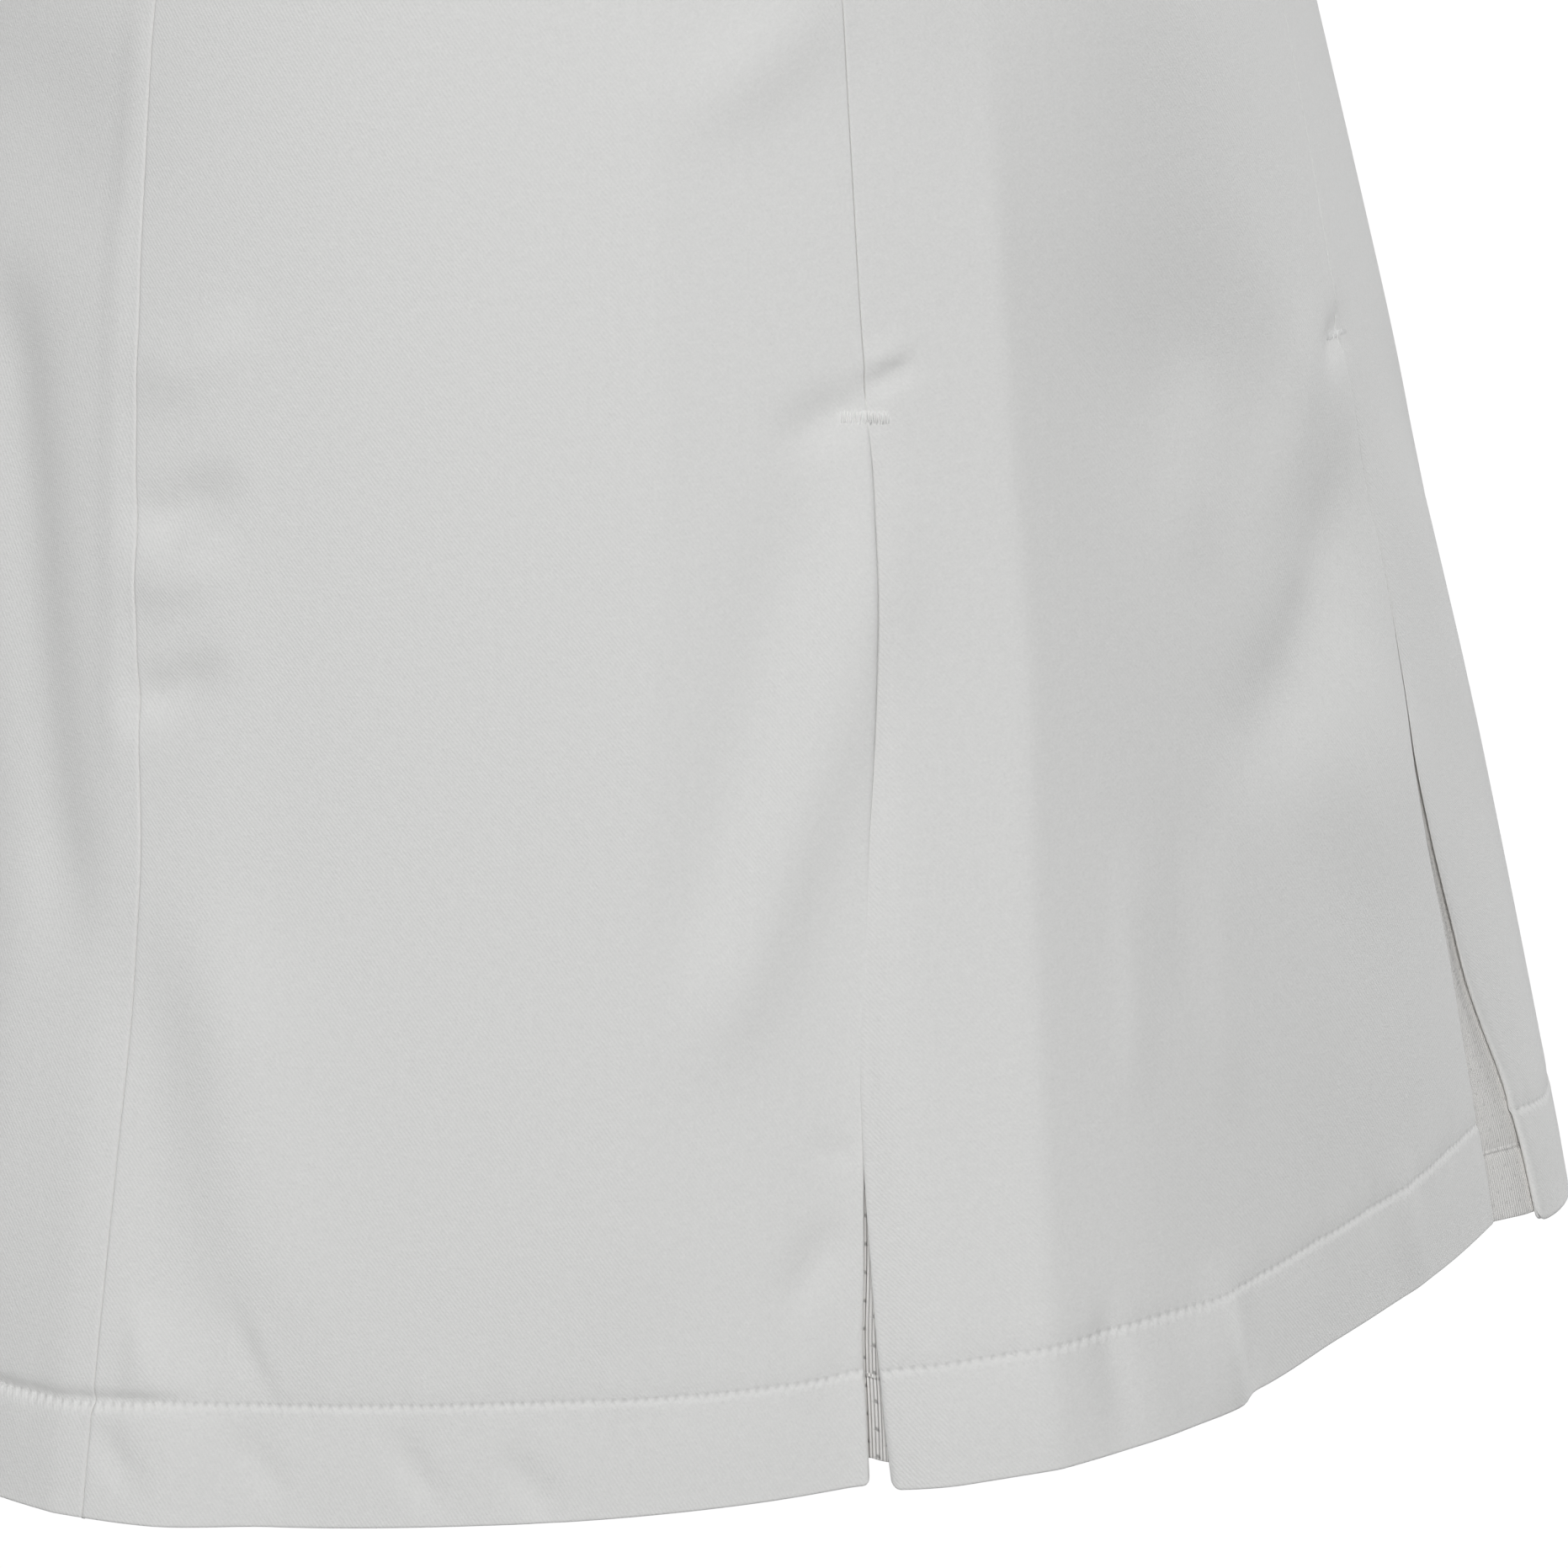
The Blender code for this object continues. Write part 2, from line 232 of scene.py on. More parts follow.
HEM_CLEAR = 3.0  # from the last row to the bottom of the hem, and to its stitches
HEM_LOW = 2.3
HEM_ROW = 2.0
NEAR_STITCHES = (-2.4, -1.6, -1.1, -0.7, -0.35, 0.0, 0.35, 0.7, 1.1, 1.6, 2.3, 3.2, 4.4, 6.0)
ALLOWANCE_STATIONS = (0.15, 1.2, 3.0, 5.0, 7.0, 8.6, ALLOWANCE)
ALLOWANCE_ROWS = 150
ALLOWANCE_MARGINS = (0.6, 1.4)
BAND_COLUMNS = 620
BAND_FACE_ROWS = 22
BAND_EDGE_ROWS = 10
THREAD_SIDES = 6
THREAD_RINGS = 5
THREADS_AT_ONCE = 40  # a mesh of many threads is made in batches
SETTLE_ROUNDS = 3  # to find the angle of a point that is given by its distance along the cloth
MERGE_DISTANCE = 1e-6

# ---- Creases

# Profile, height, half width, then (angle, drop) points from one end to the other. A soft crease
# is round, a pressed one has a sharp ridge, and a step is low on its left.
CREASES_SEEN = (
    ("soft", 0.5, 2.6, (-3.9, 70), (-3.6, 120), (-2.9, 150), (-1.7, 180), (-0.9, 205), (0.2, 230)),
    ("soft", -2.1, 8.5, (-15.5, 124), (-11.8, 148), (-9.0, 178), (-6.8, 206), (-4.6, 234),
     (-1.2, 268)),
    ("soft", -2.0, 21.0, (-12.0, 78), (-10.0, 110), (-9.0, 135)),
    ("soft", 2.6, 17.0, (-7.0, 235), (-8.5, 290), (-9.0, 360)),
    ("soft", 1.3, 6.0, (-3.5, 150), (2.5, 146), (8.0, 134)),
    ("soft", -2.1, 5.0, (-2.0, 177), (2.0, 175), (7.5, 165)),
    ("soft", 1.4, 5.0, (-2.0, 190), (2.5, 187), (7.5, 180)),
    ("soft", -2.1, 5.0, (-1.5, 212), (3.0, 209), (7.5, 200)),
    ("step", 1.7, 10.0, (4.9, 244), (5.6, 262), (6.3, 280), (7.1, 298), (8.1, 320), (10.6, 350)),
    ("step", 0.45, 2.0, (8.9, 322), (11.4, 346)),
    ("soft", 0.9, 3.0, (3.6, 324), (4.8, 348)),
    ("pressed", 1.4, 12.0, (34.3, 60), (33.8, 150), (33.0, 185), (31.5, 230), (30.4, 285),
     (29.6, 345)),
    ("soft", 1.8, 8.0, (33.5, 101), (39.5, 90), (50.0, 70)),
    ("soft", -1.6, 4.5, (49.0, 150), (45.0, 152), (40.0, 159)),
    ("soft", -1.5, 1.6, (45.6, 148.4), (48.0, 146.2), (51.4, 142.2)),
    ("soft", 0.9, 2.0, (46.4, 144.4), (48.4, 142.4), (51.0, 139.4)),
    ("soft", -1.1, 8.5, (44.0, 158), (41.4, 176), (39.0, 200), (36.0, 234), (33.6, 268)),
    ("soft", 1.9, 8.0, (47.0, 160), (45.6, 186), (42.6, 214), (38.4, 246), (33.6, 284)),
    ("soft", -0.6, 2.0, (39.7, 290), (41.5, 293), (43.3, 293)),
    ("soft", -1.0, 4.0, (38.0, 327), (41.8, 303)),
    ("soft", -0.9, 3.0, (1.5, 349), (5.0, 366)),
    ("soft", -0.8, 3.0, (8.6, 348), (12.2, 366)),
    ("soft", -1.0, 3.0, (16.6, 346), (20.1, 366)),
    ("soft", -0.9, 3.5, (22.6, 349), (26.1, 366)),
    ("soft", -0.9, 1.7, (-9.0, 348.4), (-1.0, 347.6), (8.0, 344.4)),
    ("pressed", 4.4, 24.0, (60.0, 60), (59.0, 90), (57.9, 112), (57.1, 135), (56.4, 160),
     (55.6, 200), (54.2, 235), (53.0, 280), (52.0, 330), (51.6, 400)),
    ("soft", -3.6, 26.0, (58.0, 158), (72.0, 156), (86.0, 142)),
    ("soft", -4.8, 12.0, (93.0, 163), (88.8, 184), (84.2, 203), (79.0, 216), (73.6, 226),
     (68.5, 238)),
    ("soft", 1.8, 42.0, (64.0, 290), (82.0, 282), (100.0, 276)),
    ("soft", 2.5, 24.0, (75.0, 250), (84.0, 240), (96.0, 230)),
    ("soft", 1.5, 8.0, (75.0, 146), (72.4, 168), (69.6, 194)),
    ("soft", 1.4, 7.0, (90.5, 138), (83.5, 166), (77.0, 192)),
    ("soft", 2.8, 36.0, (56.0, 84), (90.0, 68)),
    ("soft", -1.6, 3.6, (88.5, 158.5), (92.0, 153.0), (96.5, 150)),
    ("soft", 0.8, 4.0, (61.0, 232), (59.1, 291)),
    ("soft", -0.5, 4.5, (65.0, 225), (63.2, 282)),
    ("soft", 0.9, 5.0, (69.0, 231), (65.7, 300)),
    ("soft", -1.0, 4.0, (55.0, 318), (56.0, 356)),
    ("soft", 1.9, 6.5, (62.4, 318), (62.6, 364)),
    ("step", -1.0, 2.5, (64.0, 324), (64.2, 358)),
    ("soft", 0.9, 5.0, (82.0, 312), (82.6, 350)),
)
# Those that the same cloth has on the other side and at the back
CREASES_HIDDEN = (
    ("soft", -0.5, 7.0, (-8.5, 262), (-12.0, 300), (-12.5, 336)),
    ("step", -0.9, 4.5, (-9.0, 262), (-11.0, 300), (-12.0, 338)),
    ("pressed", 0.35, 9.0, (-35.0, 60), (-34.3, 130), (-32.6, 205), (-31.0, 290), (-30.2, 345)),
    ("soft", 1.1, 10.0, (-46.5, 160), (-42.0, 190), (-38.0, 232)),
    ("soft", -0.6, 8.0, (-42.0, 172), (-37.0, 202), (-33.0, 228)),
    ("soft", -0.45, 4.5, (-41.0, 150), (-46.3, 147)),
    ("pressed", 0.55, 9.0, (-60.6, 60), (-58.8, 125), (-56.6, 180), (-54.6, 240), (-52.4, 335)),
    ("soft", -1.1, 20.0, (-63.0, 132), (-75.0, 120), (-83.0, 110)),
    ("soft", -1.3, 10.0, (-90.6, 158), (-84.5, 196), (-76.0, 228)),
    ("soft", 1.2, 13.0, (-91.0, 175), (-87.5, 215), (-82.0, 248)),
    ("soft", -0.9, 14.0, (-72.0, 258), (-80.0, 290), (-86.0, 318)),
    ("soft", 0.4, 5.0, (-66.0, 226), (-62.5, 300)),
    ("step", 0.5, 2.5, (-66.0, 331), (-65.0, 351)),
    ("soft", 1.1, 11.0, (98.0, 168), (103.0, 205), (107.0, 262)),
    ("soft", -1.0, 12.0, (101.0, 150), (112.0, 188), (117.0, 250)),
    ("soft", 0.9, 12.0, (122.0, 118), (125.0, 205), (123.0, 262)),
    ("soft", -1.5, 13.0, (134.0, 140), (136.0, 228), (133.0, 300)),
    ("soft", 1.0, 10.0, (147.0, 122), (150.0, 192), (152.0, 250)),
    ("soft", -1.2, 18.0, (160.0, 96), (172.0, 108), (183.0, 98)),
    ("soft", -1.3, 13.0, (168.0, 170), (170.0, 240), (172.0, 318)),
    ("soft", 0.8, 9.0, (181.0, 150), (183.0, 236), (185.0, 296)),
    ("soft", -1.0, 12.0, (196.0, 182), (194.0, 258), (191.0, 330)),
    ("soft", 1.2, 11.0, (207.0, 128), (206.0, 198), (209.0, 262)),
    ("soft", -1.4, 12.0, (221.0, 150), (224.0, 222), (228.0, 288)),
    ("soft", 0.9, 12.0, (236.0, 132), (233.0, 215), (236.0, 284)),
    ("soft", -0.9, 12.0, (259.0, 152), (248.0, 192), (243.0, 246)),
    ("soft", 1.0, 10.0, (262.0, 170), (257.0, 210), (253.0, 258)),
)
CREASES = CREASES_SEEN + CREASES_HIDDEN
# A crease fades in over this share of its length, or over less: a length, and more by its width
FADE_SHARE = 0.45
FADE_LENGTH = (12.0, 2.2)
RIDGE_TIP = 1.0  # a pressed ridge is round over this width


# ---- Shape of the cloth

def read(table, column, x):
    """Read a column of a table at each x, on a curve through its rows that never overshoots."""
    xs = np.array([row[0] for row in table], float)
    ys = np.array([row[column] for row in table], float)
    x = np.clip(x, xs[0], xs[-1])
    slopes = np.diff(ys) / np.diff(xs)
    before, after = slopes[:-1], slopes[1:]
    same_way = before * after > 0
    inner = np.where(same_way, 2 * before * after / np.where(same_way, before + after, 1.0), 0.0)
    tangents = np.concatenate([slopes[:1], inner, slopes[-1:]])
    k = np.clip(np.searchsorted(xs, x, side="right") - 1, 0, len(slopes) - 1)
    width = xs[k + 1] - xs[k]
    t = (x - xs[k]) / width
    return (ys[k] * (2 * t ** 3 - 3 * t ** 2 + 1) + ys[k + 1] * (3 * t ** 2 - 2 * t ** 3)
            + width * tangents[k] * (t ** 3 - 2 * t ** 2 + t)
            + width * tangents[k + 1] * (t ** 3 - t ** 2))


def ease(x):
    """0 to 1 with no sudden start or stop."""
    x = np.clip(x, 0.0, 1.0)
    return x * x * (3 - 2 * x)


def wrapped(angle):
    return (angle + 180.0) % 360.0 - 180.0


def hem_drop(angle):
    """Length of the cloth from the waist to the hem at an angle."""
    return LENGTH - SIDE_RISE * np.sin(np.radians(angle)) ** 2


def fold_growth(angle, drop):
    """0 where the folds begin, 1 at the hem."""
    share = (drop - FOLD_START) / (hem_drop(angle) - FOLD_START)
    return np.maximum(share, 0.0) ** FOLD_POWER


def skin(angle, drop, out=0.0):
    """Points of the outer surface in metres, moved out by a distance."""
    half_width = read(SECTIONS, 1, drop)
    half_depth = read(SECTIONS, 2, drop)
    across, along = np.sin(np.radians(angle)), np.cos(np.radians(angle))
    out = out + read(FOLDS, 1, np.abs(wrapped(angle))) * fold_growth(angle, drop)
    normal_x, normal_y = across / half_width, -along / half_depth
    scale = out / np.hypot(normal_x, normal_y)
    steep = STEEP_FRONT * along ** 2 + STEEP_SIDE * across ** 2
    return MM * np.stack([half_width * across + normal_x * scale,
                          -half_depth * along + normal_y * scale,
                          -drop * steep], axis=-1)


def degree_width(angle, drop):
    """Width of one degree of cloth, in millimetres."""
    across, along = np.sin(np.radians(angle)), np.cos(np.radians(angle))
    return radians(1) * np.hypot(read(SECTIONS, 1, drop) * along,
                                 read(SECTIONS, 2, drop) * across)


def arc_length(start, end, drop, chords=12):
    """Width of the cloth between two angles at one drop."""
    points = [skin(start + (end - start) * k / chords, drop) for k in range(chords + 1)]
    return sum(np.linalg.norm(b - a, axis=-1) for a, b in zip(points, points[1:])) / MM


def crease_heights(angle, drop):
    """How far all the creases lift the cloth, in millimetres."""
    total = np.zeros(np.broadcast(angle, drop).shape)
    scale = degree_width(angle, drop)
    for profile, height, half_width, *points in CREASES:
        first = points[0][0]
        turn = wrapped(first - angle)
        spots = [((turn + a - first) * scale, d - drop) for a, d in points]
        lengths = [np.hypot(x1 - x0, y1 - y0) for (x0, y0), (x1, y1) in zip(spots, spots[1:])]
        whole = sum(lengths)
        best = np.full(total.shape, np.inf)
        signed = np.zeros(total.shape)
        share = np.zeros(total.shape)
        done = 0.0
        for (x0, y0), (x1, y1), length in zip(spots, spots[1:], lengths):
            dx, dy = x1 - x0, y1 - y0
            t = np.clip(-(x0 * dx + y0 * dy) / length ** 2, 0.0, 1.0)
            off_x, off_y = x0 + t * dx, y0 + t * dy
            distance = np.hypot(off_x, off_y)
            nearer = distance < best
            best = np.where(nearer, distance, best)
            signed = np.where(nearer, (dx * off_y - dy * off_x) / length, signed)
            share = np.where(nearer, (done + t * length) / whole, share)
            done = done + length
        fade = np.minimum(FADE_SHARE * whole, FADE_LENGTH[0] + FADE_LENGTH[1] * half_width)
        ends = ease(share * whole / fade) * ease((1 - share) * whole / fade)
        near = signed / half_width
        if profile == "soft":
            shape = np.exp(-(best / half_width) ** 2)
        elif profile == "pressed":
            shape = np.exp((RIDGE_TIP - np.hypot(best, RIDGE_TIP)) / half_width)
        else:
            shape = near * np.exp(0.5 - 0.5 * (best / half_width) ** 2)
        total += height * ends * shape
    return total


def hem_shaping(x, height, band):
    """How the hem's stitches draw the cloth in, by distance along and height above the hem."""
    above, below = np.maximum(height - band, 0.0), np.maximum(band - height, 0.0)
    depth, reach_above, reach_below = HEM_GROOVE
    groove = -depth * np.exp(-above / reach_above - (below / reach_below) ** 2)
    puff, middle, half_width = HEM_PUFF
    puffed = puff * np.exp(-((height - band * middle) / (band * half_width)) ** 2)
    pulled = np.exp(-(above / PUCKER_REACH[0]) ** 2 - (below / PUCKER_REACH[1]) ** 2)
    waves = sum(h * np.sin(2 * pi * x / (PUCKER_STITCH * wave) + shift)
                for wave, h, shift in HEM_PUCKERS)
    return groove + puffed + pulled * waves


def turned(run, reach, half_depth):
    """Cloth folded back on itself, at a distance along it from the tip of the fold.

    The fold is round for a reach in from its tip, and twice half_depth thick. Gives the distance
    in from the tip, the depth behind the face, and the way that the wrong side faces as (inwards,
    deeper). The run is positive on the face and negative behind it.
    """
    radius = 0.5 * (reach + half_depth)
    turn = np.clip(pi / 2 + run / radius, 0.0, pi)
    straight = np.maximum(np.abs(run) - pi / 2 * radius, 0.0)
    inwards, deeper = half_depth * np.sin(turn), -reach * np.cos(turn)
    length = np.hypot(inwards, deeper)
    return (reach * (1 - np.sin(turn)) + straight, half_depth * (1 + np.cos(turn)),
            inwards / length, deeper / length)


class Edge:
    """One side of a panel: its angle down the skirt, and how the cloth turns in there."""

    def __init__(self, angle_at, fold=None, lift=None, sink=None, dip=0.0):
        self.angle_at = angle_at
        self.fold = fold  # None at a plain seam
        self.lift = lift
        self.sink = sink
        self.dip = dip  # how far the hem hangs down at this edge
        self.raw = fold is not None

    def stations(self, step):
        """Distances along the cloth from the fold's tip, from the free end to the plain cloth."""
        if self.fold is None:
            steady = np.arange(SEAM_STATIONS[-1] + step, SEAM_ZONE, step)
            return np.concatenate([SEAM_STATIONS, steady])
        fine = step == FINE_STEP
        widest = max(reach + half_depth for _, reach, half_depth in self.fold)
        round_part = FOLD_MARGIN + pi / 4 * widest
        share = np.linspace(-1.0, 1.0, FOLD_POINTS[fine])
        fold = round_part * np.sign(share) * np.abs(share) ** FOLD_CROWDING
        behind = np.linspace(-RETURN_WIDTH, -round_part - RETURN_MARGIN, RETURN_POINTS[fine])
        near = round_part + np.array(NEAR_FOLD)
        return np.concatenate([behind, fold, near, np.arange(near[-1] + step, FOLD_ZONE, step)])

    def turned(self, run, drop):
        """As in turned, with the way that a turned-up hem lies behind the face."""
        if self.fold is None:
            inwards, deeper, *_ = turned(run, SEAM_RADIUS, SEAM_RADIUS)
            return inwards, deeper, 0.0, 1.0
        return turned(run, read(self.fold, 1, drop), read(self.fold, 2, drop))

    def lift_at(self, distance, angle, drop):
        """How far the cloth near this edge stands out."""
        out = 0.0
        if self.lift:
            height, reach = self.lift
            out = height * fold_growth(angle, drop) * np.exp(-(distance / reach) ** 2)
        if self.sink:
            near = np.exp(-(distance / read(self.sink, 2, drop)) ** 2)
            out = out - read(self.sink, 1, drop) * near
        return out

    def corner(self, run):
        """How much the hem's corner is rounded off, at a distance from the fold's tip."""
        if self.fold is None:
            return np.zeros(np.shape(run))
        short = np.maximum(HEM_CORNER - np.abs(run), 0.0)
        rounded = HEM_CORNER - np.sqrt(HEM_CORNER ** 2 - short ** 2)
        return rounded - self.dip * np.exp(-(run / DIP_REACH) ** 2)


class InsertEdge(Edge):
    """A raw edge, hidden behind a pleat's return."""

    def __init__(self, angle_at):
        super().__init__(angle_at)
        self.raw = True

    def stations(self, step):
        return np.array(INSERT_STATIONS)

    def turned(self, run, drop):
        return run, 0.0 * run, 0.0, 1.0


def hem_stations(band):
    """Distances along the cloth from the bottom of the hem, from the turned-up edge outwards."""
    inside = np.linspace(-band - HEM_EDGE, -HEM_CLEAR, HEM_INSIDE_ROWS)
    fold = np.linspace(-HEM_TURN, HEM_TURN, HEM_TURN_ROWS)
    low = np.arange(HEM_LOW, band - HEM_CLEAR, HEM_ROW)
    return np.concatenate([inside, fold, low, band + np.array(NEAR_STITCHES)])


class Cut:
    """A cut piece of cloth between two edges, with its hem turned up and its edges turned in."""

    def __init__(self, left, right, step, short=0.0, band=HEM_BAND, behind=None):
        self.left, self.right = left, right
        self.step = step
        self.short = short  # how far its hem stays above the skirt's
        self.band = band
        self.behind = behind  # how far out an insert hangs, at an angle and drop
        self.middle = 0.5 * (left.angle_at(np.array(LENGTH)) + right.angle_at(np.array(LENGTH)))

    def raised(self, height, angle):
        """Height above the hem of cloth that would be at a height if the stitches ran evenly."""
        if self.behind is not None:
            return height
        follow = ease(height / self.band) * ease((HEM_LINE_REACH - height)
                                                 / (HEM_LINE_REACH - self.band))
        return height + (read(HEM_LINE, 1, wrapped(angle)) - self.band) * follow

    def evened(self, height, angle):
        """The other way round."""
        return 2 * height - self.raised(height, angle)

    def spot(self, x_at, drop_at, depth):
        """Points of the cloth, their angle, drop and the cloth's width there.

        x_at gives the distance from the left edge for a width and drop, and drop_at the drop for
        an angle.
        """
        angle = self.middle
        for _ in range(SETTLE_ROUNDS):
            drop = drop_at(angle)
            first, last = self.left.angle_at(drop), self.right.angle_at(drop)
            width = arc_length(first, last, drop)
            x = x_at(width, drop)
            angle = first + (last - first) * x / width
        drop = drop_at(angle)
        out = -depth
        if self.behind is None:
            height = self.evened(hem_drop(angle) - drop, angle)
            out = out + self.left.lift_at(x, angle, drop)
            out = out + self.right.lift_at(width - x, angle, drop)
        else:
            height = hem_drop(angle) - self.short - drop
            out = out + self.behind(angle, drop)
        out = out + crease_heights(angle, drop) + hem_shaping(x, height, self.band)
        return skin(angle, drop, out), angle, drop, width

    def surface(self, x, height):
        """Points of the outer face, by distance from the left edge and height above the hem."""
        def drop_at(angle):
            return hem_drop(angle) - self.short - self.raised(height, angle)
        points, *_ = self.spot(lambda width, drop: x, drop_at, 0.0)
        return points

    def width_at(self, height):
        drop = hem_drop(self.middle) - self.short - height
        return float(arc_length(self.left.angle_at(drop), self.right.angle_at(drop), drop))

    def grid(self, wall):
        """Points, cloth coordinates in mm and distance from a raw edge, row by row."""
        start, end = self.left.stations(self.step), self.right.stations(self.step)[::-1]
        plain = int((self.width_at(self.band) - start[-1] - end[0]) / self.step) - 1
        shares = np.arange(1, plain + 1) / (plain + 1)
        group = np.repeat([0, 1, 2], [len(start), plain, len(end)])
        run = np.concatenate([start, shares, end])
        low = hem_stations(self.band)
        top = PANEL_TOP if self.behind is None else PANEL_TOP + INSERT_TOP
        tallest = LENGTH - self.short - top
        upper = int((tallest - low[-1]) / (ROW_STRETCH * self.step))
        rows = len(low) + upper + TOP_ROWS

        row = np.arange(rows)[:, None]
        hem_run = np.concatenate([low, np.full(upper + TOP_ROWS, FAR)])[:, None]
        hem_height, hem_depth, *_ = turned(hem_run, HEM_RADIUS, HEM_RADIUS)
        tucked = ease((-hem_run - self.band * TUCK[0]) / (self.band * TUCK[1]))
        hem_depth = hem_depth * (1 - tucked) + np.minimum(hem_depth, 2 * wall + LAYER_GAP) * tucked
        share = np.clip((row - len(low) + 1) / (upper + 1), 0.0, 1.0)
        top_run = np.concatenate([np.full(len(low) + upper, FAR), TOP_ROLL])[:, None]
        top_height, top_depth, *_ = turned(top_run, SEAM_RADIUS, SEAM_RADIUS)
        is_low, is_top = row < len(low), row >= len(low) + upper

        def in_groups(left, right, plain):
            return np.where(group == 0, left, np.where(group == 2, right, plain))
        rim = in_groups(self.left.corner(run), self.right.corner(run), 0.0)
        layer_depth = np.where(is_low, hem_depth, np.where(is_top, top_depth, 0.0))

        def drop_at(angle):
            hem = hem_drop(angle) - self.short
            low_height = hem_height + rim * np.maximum(1 - hem_height / CORNER_REACH, 0.0) ** 2
            upward = low[-1] + (hem - top - low[-1] - TOP_MARGIN) * share
            height = np.where(is_low, low_height, upward)
            return np.where(is_top, top + top_height, hem - self.raised(height, angle))

        def x_at(width, drop):
            a, _, a_side, _ = self.left.turned(run, drop)
            b, _, b_side, _ = self.right.turned(run, drop)
            left_x = a + layer_depth * a_side
            right_x = width - b - layer_depth * b_side
            return in_groups(left_x, right_x, start[-1] + (width - start[-1] - end[0]) * run)

        drop_guess = drop_at(self.middle)
        _, a_depth, _, a_deep = self.left.turned(run, drop_guess)
        _, b_depth, _, b_deep = self.right.turned(run, drop_guess)
        depth = in_groups(a_depth + layer_depth * a_deep, b_depth + layer_depth * b_deep,
                          layer_depth)
        points, angle, drop, width = self.spot(x_at, drop_at, depth)

        u = in_groups(run, width - run, start[-1] + (width - start[-1] - end[0]) * run)
        height = self.evened(hem_drop(angle) - self.short - drop, angle)
        v = np.where(is_low, np.broadcast_to(hem_run, height.shape), height)
        left_raw = run - start[0] if self.left.raw else FAR
        right_raw = run - end[-1] if self.right.raw else FAR
        beside = in_groups(left_raw, right_raw, FAR)
        raw = np.minimum(np.where(is_low, hem_run - low[0], FAR), beside)
        return points, np.stack([u, v], axis=-1), np.broadcast_to(raw, height.shape)

    def allowance(self, at_right, wall):
        """The strip of a plain seam's allowance that lies flat behind this panel, as in grid."""
        across = np.array(ALLOWANCE_STATIONS)
        first, last = PANEL_TOP, LENGTH - self.band - HEM_EDGE
        drops = np.linspace(first + ALLOWANCE_MARGINS[0], last - ALLOWANCE_MARGINS[1],
                            ALLOWANCE_ROWS)[:, None]
        depth = 2 * wall + ALLOWANCE_GAP + 0.0 * across

        def x_at(width, drop):
            return width - across if at_right else across + 0.0 * width
        points, _, _, width = self.spot(x_at, lambda angle: drops + 0.0 * across, depth)
        u = x_at(width, drops) + 0.0 * drops
        v = LENGTH - drops + 0.0 * across
        raw = np.broadcast_to(ALLOWANCE - across, v.shape)
        return points[:, ::-1], np.stack([u, v], axis=-1)[:, ::-1], raw[:, ::-1]


# ---- Meshes

def finished(name, data, material):
    """A piece of the skirt as an object in the scene."""
    data.shade_smooth()
    data.materials.append(material)
    piece = bpy.data.objects.new(name, data)
    bpy.context.scene.collection.objects.link(piece)
    return piece


def cloth_mesh(name, points, chart, raw, ring=False):
    """A grid of cloth with each point in its place, its cloth coordinates and its raw edges."""
    rows, columns = points.shape[:2]
    mesh = bmesh.new()
    bmesh.ops.create_grid(mesh, x_segments=columns - 1, y_segments=rows - 1, size=0.5)
    data = bpy.data.meshes.new(name)
    mesh.to_mesh(data)
    mesh.free()
    flat = np.empty(len(data.vertices) * 3, np.float32)
    data.vertices.foreach_get("co", flat)
    flat = flat.reshape(-1, 3)
    i = np.rint((flat[:, 0] + 0.5) * (columns - 1)).astype(int)
    j = np.rint((flat[:, 1] + 0.5) * (rows - 1)).astype(int)
    data.vertices.foreach_set("co", points[j, i].astype(np.float32).ravel())
    corners = np.empty(len(data.loops), np.int32)
    data.loops.foreach_get("vertex_index", corners)
    layer = data.uv_layers.new(name="cloth")
    layer.data.foreach_set("uv", chart[j, i][corners].astype(np.float32).ravel())
    edge = data.attributes.new("raw_edge", 'FLOAT', 'POINT')
    edge.data.foreach_set("value", raw[j, i].astype(np.float32))
    if ring:
        mesh = bmesh.new()
        mesh.from_mesh(data)
        bmesh.ops.remove_doubles(mesh, verts=mesh.verts, dist=MERGE_DISTANCE)
        mesh.to_mesh(data)
        mesh.free()
    data.update()
    return data


def thicken(piece, thickness):
    wall = piece.modifiers.new("Cloth thickness", 'SOLIDIFY')
    wall.thickness = thickness
    wall.offset = -1.0


def threads(name, spans, width, height):
    """Short lengths of thread, each from one point to another, with its outward direction."""
    mesh = bmesh.new()
    for first in range(0, len(spans), THREADS_AT_ONCE):
        batch = bmesh.new()
        for start, end, outward in spans[first:first + THREADS_AT_ONCE]:
            start, end, outward = Vector(start), Vector(end), Vector(outward)
            along = end - start
            side = along.cross(outward).normalized()
            outward = side.cross(along).normalized()
            turn = Matrix((side * width / 2, outward * height / 2, along / 2)).transposed()
            place = Matrix.Translation((start + end) / 2) @ turn.to_4x4()
            bmesh.ops.create_uvsphere(batch, u_segments=THREAD_SIDES, v_segments=THREAD_RINGS,
                                      radius=1.0, matrix=place)
        bmesh.ops.recalc_face_normals(batch, faces=batch.faces)
        part = bpy.data.meshes.new("threads")
        batch.to_mesh(part)
        batch.free()
        mesh.from_mesh(part)
        bpy.data.meshes.remove(part)
    data = bpy.data.meshes.new(name)
    mesh.to_mesh(data)
    mesh.free()
    return data


# ---- Materials

